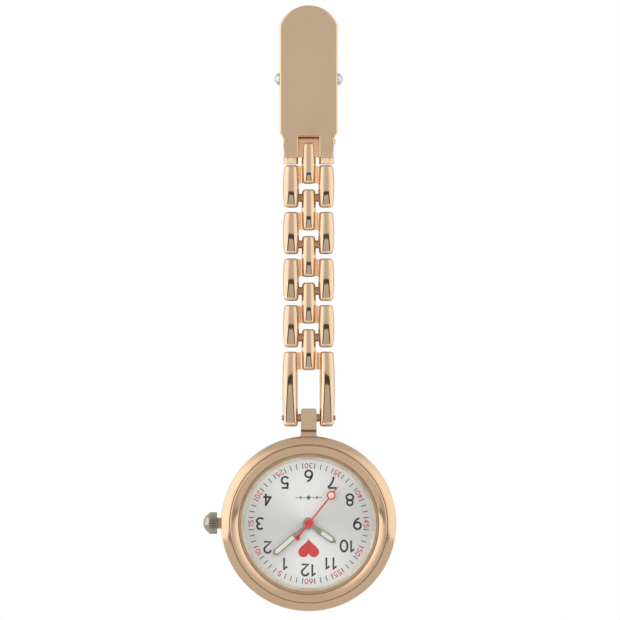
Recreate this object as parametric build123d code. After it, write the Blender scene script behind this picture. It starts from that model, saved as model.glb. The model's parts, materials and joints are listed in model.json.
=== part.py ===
from build123d import *
import math
import os

# Nurse's fob watch: a spring clip, a four-link chain, a shackle and a watch head that hangs upside down,
# so that its wearer can read it. Millimetres. The watch hangs along -Z and faces -Y. Its origin is in the
# middle of the clip's grip line, on the back face of the clip plate, where the jaw bites.
#
# Every piece is drawn in a face frame: x to the viewer's right, y up, z out of the face towards the viewer,
# with z = 0 on the middle plane of the clip, the chain and the case. place() then stands it up in the
# part's own frame.

# ---- driving dimensions -------------------------------------------------------------------------------
# heights are the part's own Z
PLATE_TOP = 19.3
AXLE_Z = 7.6
NOTCH_TOP = -1.6
PIN_1_Z = -2.5
EAR_END = -6.1
PIN_2_Z = -11.45
LINK_PITCH = 7.45
LINK_COUNT = 4
SHACKLE_PITCH = 12.85
HEAD_DROP = 16.9

# clip
PLATE_WIDTH = 9.25
PLATE_DEPTH = 2.4
PLATE_WALL = 0.9
PLATE_FRONT = 1.0
PLATE_ARC = 5.0
PLATE_CORNER = 1.5
PLATE_EDGE = 0.25
SHOULDER_Z = -1.1
EAR_WIDTH = 8.1
NOTCH_WIDTH = 3.3
EAR_CHAMFER = 1.05
TRAY_BOTTOM = 1.8
AXLE_RADIUS = 0.5
AXLE_BACK = 3.2
AXLE_HEAD_RADIUS = 1.03
AXLE_HEAD_HEIGHT = 0.87
LEVER_SHEET = 0.6
LEVER_WIDTH = 7.2
LEVER_CHEEK_X = 3.05
CLIP_SPRING_WIRE = 0.4
CLIP_SPRING_RADIUS = 1.05
CLIP_SPRING_TURNS = 5
CLIP_SPRING_LEG = 3.7
FRONT_LEG_LEAN = 15
BACK_LEG_LEAN = 10
# the lever's middle line from its thumb pad to its jaw, as (height, level)
LEVER_LINE = ((18.2, -5.0), (12.5, -4.3), (8.9, -4.2), (4.6, -3.8), (1.9, -2.4), (0.7, -1.75))

# chain
LINK_DEPTH = 2.4
LINK_GAP = 3.02
SIDE_BAR_WIDTH = 2.6
CENTRE_BAR_WIDTH = 2.32
CENTRE_BAR_END = 0.6
CENTRE_TOP = 1.35
CENTRE_LENGTH = 6.6
SIDE_TOP = -2.25
SIDE_LENGTH = 6.8
BRIDGE_DEPTH = 1.5
BRIDGE_RECESS = 0.6
BRIDGE_INSET = 0.1
BRIDGE_OVERLAP = 0.4
PIN_RADIUS = 0.45
PIN_CLEARANCE = 0.05
TONGUE_RADIUS = 0.8
TONGUE_END = -2.5
SHACKLE_SIDE_LENGTH = 12.0
SHACKLE_WIDTH = 8.4
SHACKLE_BAR_WIDTH = 2.46

# watch head: radii, and heights above the head's middle plane
CASE_RADIUS = 14.0
CASE_BORE = 11.6
CASE_BACK_EDGE = -2.95
BACK_SEAT = -3.0
GASKET_FLOOR = -2.7
BEZEL_SEAT = 1.2
NECK_RADIUS = 12.0
CASE_SHOULDER = (12.62, 1.6)
CASE_EDGE_RADIUS = 12.9
CASE_FLANK = 0.7
BEZEL_BORE = 11.0
BEZEL_OUTER = 12.54
BEZEL_CREST = (12.35, 3.42)
BEZEL_LIP = (11.22, 3.1)
CRYSTAL_RADIUS = 10.75
CRYSTAL_BOTTOM = 1.95
CRYSTAL_TOP = 2.75
CRYSTAL_CHAMFER = 0.15
SEAT_LEVEL = 1.9
FLANGE_TOP = 1.88
FLANGE_TOP_RADIUS = 10.7
FLANGE_FOOT = 0.12
FLANGE_PLAY = 0.05
DIAL_TOP = 0.5
DIAL_THICKNESS = 0.4
DIAL_RADIUS = 11.5
DIAL_OPENING = 10.15
DIAL_HOLE = 0.9
DIAL_FOOT = 0.35
BACK_FACE = -3.7
BACK_FLAT_RADIUS = 11.0
BACK_RADIUS = 12.88
BACK_RIM = (11.5, 11.2)
BACK_RIM_TOP = -2.1
GROOVE = (12.2, 11.8)
BOW_WIDTH = 2.52
BOW_TOP = 18.4
BOW_DEPTH = 1.7
NECK_TOP = 14.75
NECK_HALF_DEPTH = 0.65
STEM_LEVEL = -1.55
CROWN_INNER = 14.67
CROWN_KNURL = 1.3
CROWN_DOME = 0.94
CROWN_RADIUS = 1.745
CROWN_RIBS = 24
CROWN_RIB_DEPTH = 0.12
CROWN_DOME_RADIUS = 1.55
CROWN_BORE = 1.15
CROWN_BORE_DEPTH = 0.85
TUBE_RADIUS = 0.92
TUBE_REACH = (11.75, 15.3)
STEM_RADIUS = 0.4
STEM_END = 15.6
STEM_GROOVE = (7.3, 7.8)
STEM_GROOVE_RADIUS = 0.2
STEM_SQUARE = (4.2, 7.0)
STEM_SQUARE_HALF = 0.26
CLUTCH_RADIUS = 0.72
CLUTCH_GROOVE_RADIUS = 0.45
CLUTCH_REACH = (5.45, 6.35)
CLUTCH_GROOVE = (5.75, 6.05)
CLUTCH_TEETH = 8
CLUTCH_TOOTH = 0.15
CLUTCH_PLAY = 0.03
DIAL_FEET = (60, 240)
DIAL_FOOT_RADIUS = 8.6

# hands: clockwise from twelve, which is at the bottom of the hanging watch
HOUR_ANGLE = 304.3
MINUTE_ANGLE = 49.2
SECOND_ANGLE = 219.4
HOUR_HAND_LEVEL = 0.7
MINUTE_HAND_LEVEL = 1.0
SECOND_HAND_LEVEL = 1.3
HAND_THICKNESS = 0.15
HOUR_HAND = {"length": 5.3, "shoulder": 2.2, "neck_end": 1.9, "neck": 0.75, "width": 1.0, "tip_share": 0.8}
MINUTE_HAND = {"length": 7.6, "shoulder": 3.0, "neck_end": 2.4, "neck": 0.6, "width": 1.0, "tip_share": 0.86}
HOUR_HUB = 1.0
MINUTE_HUB = 0.95
# the luminous strips, as (width, start, end)
HOUR_STRIP = (0.62, 2.5, 4.7)
MINUTE_STRIP = (0.66, 3.2, 7.2)
SECOND_THICKNESS = 0.1
SECOND_WIDTH = 0.26
SECOND_REACH = 7.55
SECOND_RING_PLACE = 5.8
SECOND_RING_RADIUS = 0.71
SECOND_RING_BORE = 0.5
SECOND_TAIL = -2.9
SECOND_WEIGHT_RADIUS = 0.425
SECOND_HUB = 0.7

# gear train: teeth of each wheel and pinion, and the distances between their arbors
ROTOR_PINION = 8
INTERMEDIATE_WHEEL = 48
INTERMEDIATE_PINION = 8
SECOND_WHEEL = 40
SECOND_PINION = 8
THIRD_WHEEL = 60
THIRD_PINION = 8
CENTRE_WHEEL = 64
CANNON_PINION = 12
MINUTE_WHEEL = 36
MINUTE_PINION = 10
HOUR_WHEEL = 40
THIRD_DISTANCE = 2.4
INTERMEDIATE_DISTANCE = 2.45
ROTOR_DISTANCE = 1.96
MINUTE_DISTANCE = 2.4
SETTING_WHEEL = 18

# movement: radii, places in the face frame, and the levels of its layers as (low, high)
PLATE_RADIUS = 9.45
PLATE_FRONT_LEVEL = -0.45
PLATE_BACK_LEVEL = -1.15
BRIDGE_FRONT_LEVEL = -2.5
BRIDGE_BACK_LEVEL = -2.8
ARBOR_RADIUS = 0.12
ARBOR_HOLE = 0.16
CANNON_BORE = 0.17
CANNON_RADIUS = 0.35
HOUR_TUBE_BORE = 0.40
HOUR_TUBE_RADIUS = 0.65
BATTERY_RADIUS = 3.4
BATTERY_PLACE = (5.69, -0.80)
PILLARS = ((-3.4, 2.6), (1.9, -3.0))
THIRD_DIRECTION = 95
INTERMEDIATE_DIRECTION = 200
ROTOR_DIRECTION = 250
SETTING_WHEEL_X = -3.75
SETTING_LEVER_PIVOT = (-8.05, 1.9)
YOKE_PIVOT = (-5.65, 2.6)
COIL_Y = -6.2
COIL_ENDS = (-5.45, 1.95)
COIL_LEVEL = -1.95
COIL_RADIUS = 0.66
COIL_REACH = (-4.7, 1.2)
CORE_REACH = (-6.0, 2.5)
CORE_HALF = 0.4
BOARD_EDGE = 4.9
BOARD_RADIUS = 9.2
HOLDER_RADII = (11.1, 11.5)
HOLDER_LEVELS = (-2.9, -2.0, 0.1)
PILLAR_RADIUS = 0.6
SCREW_RADIUS = 0.3
SCREW_TIP = -1.65
COIL_SCREW_RADIUS = 0.25
COIL_SCREW_TIP = -0.85
STUD_RADIUS = 0.25
SLOT_HALF = 0.08
LOBE_RADIUS = 0.85
SPOKE_HALF = 0.14
HOUR_WHEEL_LAYER = (-0.16, 0.0)
MINUTE_PINION_LAYER = (-0.22, 0.02)
MINUTE_WHEEL_LAYER = (-0.38, -0.22)
CANNON_LAYER = (-0.4, -0.2)
SETTING_WHEEL_LAYER = (-0.97, -0.22)
CENTRE_WHEEL_LAYER = (-1.4, -1.25)
THIRD_PINION_LAYER = (-1.6, -1.2)
THIRD_WHEEL_LAYER = (-1.72, -1.6)
SECOND_PINION_LAYER = (-1.95, -1.52)
SECOND_WHEEL_LAYER = (-2.07, -1.95)
INTERMEDIATE_PINION_LAYER = (-2.25, -1.88)
INTERMEDIATE_WHEEL_LAYER = (-2.35, -2.25)
MAGNET_LAYER = (-1.9, -1.35)
ROTOR_PINION_LAYER = (-2.42, -1.9)
ARBOR_LAYER = (BRIDGE_BACK_LEVEL + 0.1, PLATE_BACK_LEVEL + 0.2)
STATOR_LAYER = (-1.85, -1.45)
CORE_LAYER = (-2.05, -1.85)
BOARD_LAYER = (-1.4, PLATE_BACK_LEVEL)
CHIP_LAYER = (-1.9, -1.4)
CELL_LAYER = (-2.82, -1.0)
CELL_CAP_LAYER = (-1.0, -0.72)
CLAMP_LAYER = (-2.94, -2.82)
SETTING_LEVER_LAYER = (-2.35, -2.1)
YOKE_LAYER = (-1.65, -1.45)

HEAD_Z = PIN_2_Z - LINK_PITCH * (LINK_COUNT - 1) - SHACKLE_PITCH - HEAD_DROP


# ---- helpers ------------------------------------------------------------------------------------------
def place(shape, height):
    """Stand a shape drawn in the face frame up in the part's frame, its own origin at this height."""
    middle = -PLATE_DEPTH / 2
    return Plane(origin=(0, middle, height), x_dir=(1, 0, 0), z_dir=(0, -1, 0)).location * shape


def block(x, y, z):
    """A box between two values on each axis."""
    size = [abs(b - a) for a, b in (x, y, z)]
    middle = [(a + b) / 2 for a, b in (x, y, z)]
    return Pos(*middle) * Box(*size)


def disc(radius, low, high, x=0, y=0):
    """A round disc or post along the face frame's z axis."""
    return Pos(x, y, (low + high) / 2) * Cylinder(radius, abs(high - low))


def ring(outer, inner, low, high, x=0, y=0):
    """A flat ring along z."""
    return disc(outer, low, high, x, y) - disc(inner, low - 1, high + 1, x, y)


def cross_rod(radius, x_from, x_to, y=0, z=0):
    """A round rod along x."""
    return Pos((x_from + x_to) / 2, y, z) * Rot(0, 90, 0) * Cylinder(radius, abs(x_to - x_from))


def turned(edges):
    """Revolve an outline of (radius, height) edges about the z axis."""
    return revolve(Plane.XZ * make_face(edges), Axis.Z, 360)


def turned_points(*points):
    return turned(Polyline(*points, close=True))


def from_side(outline, x_from, x_to):
    """Extrude a side view, drawn as (y, z), along x."""
    low, high = sorted((x_from, x_to))
    view = Plane(origin=(low, 0, 0), x_dir=(0, 1, 0), z_dir=(1, 0, 0))
    return extrude(view * outline, high - low)


def polygon(*points):
    return make_face(Polyline(*points, close=True))


def polar(distance, degrees):
    return distance * math.cos(math.radians(degrees)), distance * math.sin(math.radians(degrees))


def hand_turn(angle):
    """The turn in the face frame that points a hand, drawn along +y, at this clockwise dial angle."""
    return Rot(0, 0, 180 - angle)


def gear(teeth, module, low, high, bore=0.0, phase=0.0):
    """A watch wheel or pinion: rounded teeth on a disc, with a tooth centred on the angle phase."""
    pitch = module * teeth / 2
    tip = pitch + module * 0.80
    root = pitch - module * 1.20
    step = 360 / teeth
    flanks = ((-0.28, root), (-0.20, pitch), (-0.07, tip), (0.07, tip), (0.20, pitch), (0.28, root))
    points = []
    for n in range(teeth):
        for share, radius in flanks:
            points.append(polar(radius, phase + (n + share) * step))
    body = Pos(0, 0, min(low, high)) * extrude(polygon(*points), abs(high - low))
    if bore:
        body = body - disc(bore, min(low, high) - 1, max(low, high) + 1)
    return body


def crossed_out(wheel, rim, hub, low, high):
    """Cut the windows of a wheel between its rim, its hub and its four spokes."""
    windows = ring(rim, hub, low - 0.5, high + 0.5)
    for turn in (0, 90):
        spoke = block((-rim - 1, rim + 1), (-SPOKE_HALF, SPOKE_HALF), (low - 1, high + 1))
        windows = windows - Rot(0, 0, turn + 45) * spoke
    return wheel - windows


def meshing_phase(teeth, towards, partner_teeth, partner_phase):
    """The phase at which a gear's tooth space meets its partner's tooth on the line between them.

    towards is the direction of the partner, seen from this gear.
    """
    partner_step = 360 / partner_teeth
    past = (towards + 180 - partner_phase) / partner_step
    past = past - math.floor(past)
    step = 360 / teeth
    return towards + step / 2 + past * step


# ---- clip ---------------------------------------------------------------------------------------------
AXLE_LEVEL = PLATE_DEPTH / 2 - AXLE_BACK


def plate_outline(inset, lower_edge):
    """The plate's round-topped outline, this far inside its edge, above the points of its lower edge."""
    half = PLATE_WIDTH / 2 - inset
    arc = PLATE_ARC - inset
    middle = PLATE_TOP - PLATE_ARC
    corner = middle + math.sqrt(arc ** 2 - half ** 2)
    left = [(-x, y) for x, y in lower_edge]
    lower = Polyline((-half, corner), *left, *reversed(lower_edge), (half, corner))
    face = make_face(lower + ThreePointArc((half, corner), (0, middle + arc), (-half, corner)))
    corners = face.vertices().filter_by(lambda vertex: abs(vertex.Y - corner) < PLATE_EDGE)
    return fillet(corners, PLATE_CORNER - inset)


def clip_plate():
    """The cast front plate: a round-topped tray, open at the back, with two ears and two axle lugs."""
    half = PLATE_WIDTH / 2
    ear = EAR_WIDTH / 2
    deep = PLATE_DEPTH / 2
    edge = ((half, SHOULDER_Z), (ear, SHOULDER_Z - 0.8), (ear, EAR_END))
    body = Pos(0, 0, -deep) * extrude(plate_outline(0, edge), PLATE_DEPTH)
    body = fillet(body.faces().sort_by(Axis.Z)[-1].edges(), PLATE_EDGE)
    notch = NOTCH_WIDTH / 2
    body = body - block((-notch, notch), (EAR_END - 1, NOTCH_TOP), (-deep - 1, deep + 1))
    slope = polygon((EAR_END - 1, deep + 1), (EAR_END + 1.7, deep + 1), (EAR_END + EAR_CHAMFER, deep),
                    (EAR_END, 0), (EAR_END - 1, 0))
    body = body - from_side(slope, -half - 1, half + 1)
    inner = half - PLATE_WALL
    floor = deep - PLATE_FRONT
    tray = plate_outline(PLATE_WALL, ((inner, TRAY_BOTTOM),))
    body = body - Pos(0, 0, -deep - 1) * extrude(tray, floor + deep + 1)
    for side in (-1, 1):
        lug = block((side * inner, side * half), (AXLE_Z - 1.6, AXLE_Z + 1.6), (AXLE_LEVEL, -deep))
        body = body + lug + cross_rod(1.6, side * inner, side * half, AXLE_Z, AXLE_LEVEL)
    body = body - cross_rod(AXLE_RADIUS, -half - 1, half + 1, AXLE_Z, AXLE_LEVEL)
    return body - cross_rod(PIN_RADIUS, -half - 1, half + 1, PIN_1_Z)


def clip_axle():
    """The riveted axle with its two domed heads."""
    half = PLATE_WIDTH / 2
    rise = AXLE_HEAD_HEIGHT
    radius = (AXLE_HEAD_RADIUS ** 2 + rise ** 2) / (2 * rise)
    cap = Pos(0, 0, rise - radius) * Sphere(radius) - block((-9, 9), (-9, 9), (-9, 0))
    axle = cross_rod(AXLE_RADIUS, -half, half, AXLE_Z, AXLE_LEVEL)
    for side in (-1, 1):
        axle = axle + Pos(side * half, AXLE_Z, AXLE_LEVEL) * Rot(0, 90 * side, 0) * cap
    return axle


def clip_lever():
    """The bent sheet lever: a thumb pad, two cheeks on the axle, and a jaw with two teeth."""
    bends = FilletPolyline(*LEVER_LINE, radius=0.8)
    sheet = from_side(trace(bends, LEVER_SHEET), -LEVER_WIDTH / 2, LEVER_WIDTH / 2)
    pad_middle = LEVER_LINE[0][0] - LEVER_WIDTH / 2
    pad = Pos(0, pad_middle) * Circle(LEVER_WIDTH / 2) + Pos(0, pad_middle - 10) * Rectangle(LEVER_WIDTH, 20)
    sheet = sheet & (Pos(0, 0, -9) * extrude(pad, 12))
    bite = -PLATE_DEPTH / 2 - 0.02
    jaw = polygon((1.6, -2.3), (1.35, -1.6), (0.8, bite), (0.45, bite - 0.3), (0.05, bite),
                  (-0.3, bite - 0.3), (-0.65, bite), (-0.95, -1.75), (-0.6, -2.15))
    lever = sheet + from_side(jaw, -LEVER_WIDTH / 2, LEVER_WIDTH / 2)
    for side in (-1, 1):
        inner = side * LEVER_CHEEK_X
        outer = side * (LEVER_CHEEK_X + 0.5)
        cheek = cross_rod(1.2, inner, outer, AXLE_Z, AXLE_LEVEL)
        web = block((inner, outer), (AXLE_Z - 1.2, AXLE_Z + 1.2), (AXLE_LEVEL - 2.1, AXLE_LEVEL))
        lever = lever + cheek + web
    return lever - cross_rod(AXLE_RADIUS + PIN_CLEARANCE, -6, 6, AXLE_Z, AXLE_LEVEL)


def clip_spring():
    """The torsion spring round the axle, with one leg on the plate and one on the lever."""
    pitch = CLIP_SPRING_WIRE + 0.12
    turns = CLIP_SPRING_TURNS + (180 - FRONT_LEG_LEAN - BACK_LEG_LEAN) / 360
    coil = Helix(pitch, pitch * turns, CLIP_SPRING_RADIUS)
    lead = Line(coil @ 0 - (coil % 0) * CLIP_SPRING_LEG, coil @ 0)
    tail = Line(coil @ 1, coil @ 1 + (coil % 1) * CLIP_SPRING_LEG)
    section = Plane(origin=lead @ 0, z_dir=lead % 0) * Circle(CLIP_SPRING_WIRE / 2)
    spring = sweep(section, Wire([lead, coil, tail]), is_frenet=True)
    spring = Pos(0, 0, -pitch * turns / 2) * spring
    return Pos(0, AXLE_Z, AXLE_LEVEL) * Rot(0, 90, 0) * Rot(0, 0, 180 + FRONT_LEG_LEAN) * spring


# ---- chain --------------------------------------------------------------------------------------------
def bar(width, top, length, depth, x=0, end=0.5, edge=0.7):
    """A cast bar hanging down from top: rounded along its front edges and at its ends."""
    shape = block((x - width / 2, x + width / 2), (top - length, top), (-depth / 2, depth / 2))
    ends = shape.edges().filter_by(Axis.X)
    shape = fillet(ends, end)
    front = shape.faces().sort_by(Axis.Z)[-1]
    return fillet(front.edges().filter_by(Axis.Y), edge)


def side_bars(width, outer, top, length, depth):
    shape = Part()
    for side in (-1, 1):
        shape = shape + bar(width, top, length, depth, side * (outer - width) / 2)
    return shape


def bridge(gap, rise):
    """The recessed bar behind the centre bar, which joins it to the two side bars."""
    reach = gap / 2 + BRIDGE_OVERLAP
    front = LINK_DEPTH / 2 - BRIDGE_RECESS
    low = CENTRE_TOP - CENTRE_LENGTH + BRIDGE_INSET + rise
    high = SIDE_TOP - BRIDGE_INSET + rise
    return block((-reach, reach), (low, high), (front - BRIDGE_DEPTH, front))


def link(first=False):
    """One link, drawn from its upper pin: a centre bar, two side bars, and the bridges between them.

    The first link has a wide tongue behind its centre bar, which fills the notch of the clip plate.
    """
    outer = LINK_GAP + 2 * SIDE_BAR_WIDTH
    drop = PIN_1_Z - PIN_2_Z if first else LINK_PITCH
    rise = LINK_PITCH - drop
    shape = side_bars(SIDE_BAR_WIDTH, outer, SIDE_TOP + rise, SIDE_LENGTH, LINK_DEPTH)
    shape = shape + bar(CENTRE_BAR_WIDTH, CENTRE_TOP + rise, CENTRE_LENGTH, LINK_DEPTH, end=CENTRE_BAR_END)
    shape = shape + bridge(LINK_GAP, rise)
    running = PIN_RADIUS + PIN_CLEARANCE
    if first:
        half = LINK_GAP / 2
        shape = shape + cross_rod(TONGUE_RADIUS, -half, half)
        shape = shape + block((-half, half), (TONGUE_END, 0), (-TONGUE_RADIUS, TONGUE_RADIUS))
    shape = shape - cross_rod(running, -LINK_GAP, LINK_GAP)
    return shape - cross_rod(PIN_RADIUS, -outer, outer, -drop)


def shackle():
    """The long bottom link: a centre bar and two long side bars that hold the bow between them."""
    shape = side_bars(SHACKLE_BAR_WIDTH, SHACKLE_WIDTH, SIDE_TOP, SHACKLE_SIDE_LENGTH, LINK_DEPTH)
    shape = shape + bar(CENTRE_BAR_WIDTH, CENTRE_TOP, CENTRE_LENGTH, LINK_DEPTH, end=CENTRE_BAR_END)
    shape = shape + bridge(SHACKLE_WIDTH - 2 * SHACKLE_BAR_WIDTH, 0)
    shape = shape - cross_rod(PIN_RADIUS + PIN_CLEARANCE, -LINK_GAP, LINK_GAP)
    return shape - cross_rod(PIN_RADIUS, -SHACKLE_WIDTH, SHACKLE_WIDTH, -SHACKLE_PITCH)


def link_pin(width):
    return cross_rod(PIN_RADIUS, -width / 2, width / 2)


# ---- case ---------------------------------------------------------------------------------------------
def case_body():
    """The case middle with its beaded shoulder, and the bow on its neck at the top."""
    outline = (
        Line((CASE_BORE, CASE_BACK_EDGE), (CASE_EDGE_RADIUS, CASE_BACK_EDGE))
        + TangentArc((CASE_RADIUS, -CASE_FLANK), (CASE_EDGE_RADIUS, CASE_BACK_EDGE), tangent=(0, -1))
        + Line((CASE_RADIUS, -CASE_FLANK), (CASE_RADIUS, CASE_FLANK))
        + TangentArc((CASE_RADIUS, CASE_FLANK), CASE_SHOULDER, tangent=(0, 1))
        + Polyline(CASE_SHOULDER, (CASE_SHOULDER[0], BEZEL_SEAT), (NECK_RADIUS, BEZEL_SEAT),
                   (NECK_RADIUS, SEAT_LEVEL), (CASE_BORE, SEAT_LEVEL), (CASE_BORE, CASE_BACK_EDGE))
    )
    body = turned(outline) - ring(*GROOVE, CASE_BACK_EDGE - 1, GASKET_FLOOR)
    half = BOW_WIDTH / 2
    neck = block((-half, half), (13.0, NECK_TOP), (-NECK_HALF_DEPTH, NECK_HALF_DEPTH))
    tab = block((-half, half), (NECK_TOP, BOW_TOP), (-BOW_DEPTH / 2, BOW_DEPTH / 2))
    tab = fillet(tab.edges().filter_by(Axis.Z).group_by(Axis.Y)[-1], 0.35)
    tab = fillet(tab.faces().sort_by(Axis.Y)[-1].edges().filter_by(Axis.X), 0.3)
    body = body + neck + tab
    body = body - cross_rod(PIN_RADIUS + PIN_CLEARANCE, -half - 1, half + 1, HEAD_DROP)
    return body - cross_rod(TUBE_RADIUS, -CASE_RADIUS - 1, -CASE_BORE + 1, 0, STEM_LEVEL)


def bezel():
    """The inner bead, pressed on the case's neck, which holds the crystal."""
    outline = (
        Polyline((NECK_RADIUS, BEZEL_SEAT), (BEZEL_OUTER, BEZEL_SEAT), (BEZEL_OUTER, 3.2))
        + ThreePointArc((BEZEL_OUTER, 3.2), (12.49, 3.35), BEZEL_CREST)
        + ThreePointArc(BEZEL_CREST, (11.83, 3.37), BEZEL_LIP)
        + Polyline(BEZEL_LIP, (BEZEL_BORE, CRYSTAL_TOP), (BEZEL_BORE, SEAT_LEVEL),
                   (NECK_RADIUS, SEAT_LEVEL), (NECK_RADIUS, BEZEL_SEAT))
    )
    return turned(outline)


def crystal():
    """The flat mineral glass with a polished chamfer."""
    glass = disc(CRYSTAL_RADIUS, CRYSTAL_BOTTOM, CRYSTAL_TOP)
    return chamfer(glass.faces().sort_by(Axis.Z)[-1].edges(), CRYSTAL_CHAMFER)


def crystal_gasket():
    """The plastic ring that the glass is pressed into."""
    return ring(BEZEL_BORE, CRYSTAL_RADIUS, CRYSTAL_BOTTOM, CRYSTAL_TOP - CRYSTAL_CHAMFER)


def dial_ring():
    """The sloped flange between the glass and the dial."""
    outer = CASE_BORE - FLANGE_PLAY
    return turned_points((DIAL_OPENING, DIAL_TOP), (DIAL_OPENING, DIAL_TOP + FLANGE_FOOT),
                         (FLANGE_TOP_RADIUS, FLANGE_TOP), (outer, FLANGE_TOP), (outer, DIAL_TOP))


def dial():
    """The dial plate with its centre hole and its two feet."""
    plate = ring(DIAL_RADIUS, DIAL_HOLE, DIAL_TOP - DIAL_THICKNESS, DIAL_TOP)
    for turn in DIAL_FEET:
        x, y = polar(DIAL_FOOT_RADIUS, turn)
        plate = plate + disc(DIAL_FOOT, PLATE_BACK_LEVEL + 0.1, DIAL_TOP - DIAL_THICKNESS, x, y)
    return plate


def case_back():
    """The pressed-on back: a flat disc with a rounded edge, and a rim that snaps into the case."""
    cover = turned(
        Polyline((0, BACK_SEAT), (0, BACK_FACE), (BACK_FLAT_RADIUS, BACK_FACE))
        + ThreePointArc((BACK_FLAT_RADIUS, BACK_FACE), (12.3, -3.5), (BACK_RADIUS, BACK_SEAT))
        + Line((BACK_RADIUS, BACK_SEAT), (0, BACK_SEAT))
    )
    return cover + ring(*BACK_RIM, BACK_SEAT, BACK_RIM_TOP)


def back_gasket():
    """The seal in the groove of the case's bottom edge."""
    return ring(*GROOVE, GASKET_FLOOR, BACK_SEAT)


def crown():
    """The knurled crown with its domed end and the bore that slides over the tube."""
    knurl_end = CROWN_INNER + CROWN_KNURL
    ribs = []
    for n in range(CROWN_RIBS):
        step = 360 / CROWN_RIBS
        for share, depth in ((-0.3, CROWN_RIB_DEPTH), (-0.15, 0), (0.15, 0), (0.3, CROWN_RIB_DEPTH)):
            ribs.append(polar(CROWN_RADIUS - depth, (n + share) * step))
    body = Pos(0, 0, CROWN_INNER) * extrude(polygon(*ribs), CROWN_KNURL)
    radius = (CROWN_DOME_RADIUS ** 2 + CROWN_DOME ** 2) / (2 * CROWN_DOME)
    dome = Sphere(radius) - block((-9, 9), (-9, 9), (-9, radius - CROWN_DOME))
    body = body + Pos(0, 0, knurl_end + CROWN_DOME - radius) * dome
    body = body - disc(CROWN_BORE, CROWN_INNER - 1, CROWN_INNER + CROWN_BORE_DEPTH)
    return along_stem(body - disc(STEM_RADIUS, CROWN_INNER, STEM_END))


def along_stem(shape):
    """Turn a shape drawn along z to point out of the case along -x, on the stem's line."""
    return Pos(0, 0, STEM_LEVEL) * Rot(0, -90, 0) * shape


def stem():
    """The winding stem: a round rod, with a groove for the setting lever and a square for the clutch."""
    square = STEM_SQUARE_HALF
    body = disc(STEM_RADIUS, STEM_GROOVE[1], STEM_END) + disc(STEM_GROOVE_RADIUS, *STEM_GROOVE)
    body = body + disc(STEM_RADIUS, STEM_SQUARE[1], STEM_GROOVE[0])
    return along_stem(body + block((-square, square), (-square, square), STEM_SQUARE))


def crown_tube():
    """The tube pressed into the case, which the stem runs in."""
    return along_stem(ring(TUBE_RADIUS, STEM_RADIUS + 0.06, *TUBE_REACH))


def crown_gasket():
    """The seal in the crown, which slides on the tube."""
    return along_stem(ring(CROWN_BORE, TUBE_RADIUS + 0.03, CROWN_INNER + 0.15, CROWN_INNER + 0.5))


def clutch():
    """The clutch on the stem's square, with a groove for the yoke and eight teeth on its inner end."""
    start, end = CLUTCH_REACH
    groove = ring(CLUTCH_RADIUS + 1, CLUTCH_GROOVE_RADIUS, *CLUTCH_GROOVE)
    body = disc(CLUTCH_RADIUS, start, end) - groove
    for n in range(CLUTCH_TEETH):
        tooth = block((0.48, 0.7), (-0.1, 0.1), (start - CLUTCH_TOOTH, start + 0.01))
        body = body + Rot(0, 0, n * 360 / CLUTCH_TEETH) * tooth
    hole = STEM_SQUARE_HALF + CLUTCH_PLAY
    return along_stem(body - block((-hole, hole), (-hole, hole), (start - 1, end + 1)))


# ---- hands --------------------------------------------------------------------------------------------
def hand_outline(length, shoulder, neck_end, neck, width, tip_share):
    """Half a hand's edge, from its hub out to its point, as (half width, reach)."""
    return [(neck / 2, 0), (neck / 2, neck_end), (width / 2, shoulder),
            (width / 2, length * tip_share), (0.05, length)]


def hand(half_edge, hub, bore, level):
    """A flat pointed hand with a round hub, drawn along +y."""
    left = [(-x, y) for x, y in reversed(half_edge)]
    blade = extrude(polygon(*half_edge, *left), HAND_THICKNESS)
    body = Pos(0, 0, level) * blade + disc(hub, level, level + HAND_THICKNESS)
    return body - disc(bore, level - 1, level + 1)


def lume_outline(width, start, end):
    """The luminous filling's outline: a strip with a pointed outer end."""
    half = width / 2
    return polygon((-half, start), (half, start), (half, end - width), (0.03, end), (-0.03, end),
                   (-half, end - width))


def filled_hand(sizes, hub, bore, level, strip, angle):
    """A hand and its luminous filling, both turned to their place on the dial."""
    metal = hand(hand_outline(**sizes), hub, bore, level)
    opening = Pos(0, 0, level - 1) * extrude(lume_outline(*strip), 2)
    filling = Pos(0, 0, level) * extrude(lume_outline(*strip), HAND_THICKNESS + 0.02)
    return hand_turn(angle) * (metal - opening), hand_turn(angle) * filling


def second_hand():
    """The thin second hand with its ring, its counterweight and its hub."""
    level = SECOND_HAND_LEVEL
    top = level + SECOND_THICKNESS
    body = block((-SECOND_WIDTH / 2, SECOND_WIDTH / 2), (SECOND_TAIL, SECOND_REACH), (level, top))
    body = body + disc(SECOND_RING_RADIUS, level, top, 0, SECOND_RING_PLACE)
    body = body + disc(SECOND_WEIGHT_RADIUS, level, top, 0, SECOND_TAIL)
    body = body - disc(SECOND_RING_BORE, level - 1, top + 1, 0, SECOND_RING_PLACE)
    body = body + disc(SECOND_HUB, level, top + 0.12) + disc(0.3, level - 0.1, level)
    return hand_turn(SECOND_ANGLE) * (body - disc(ARBOR_RADIUS, level - 1, top + 0.05))


def second_lume():
    """The pale filling in the second hand's ring."""
    level = SECOND_HAND_LEVEL
    filling = disc(SECOND_RING_BORE, level, level + SECOND_THICKNESS, 0, SECOND_RING_PLACE)
    return hand_turn(SECOND_ANGLE) * filling


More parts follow.
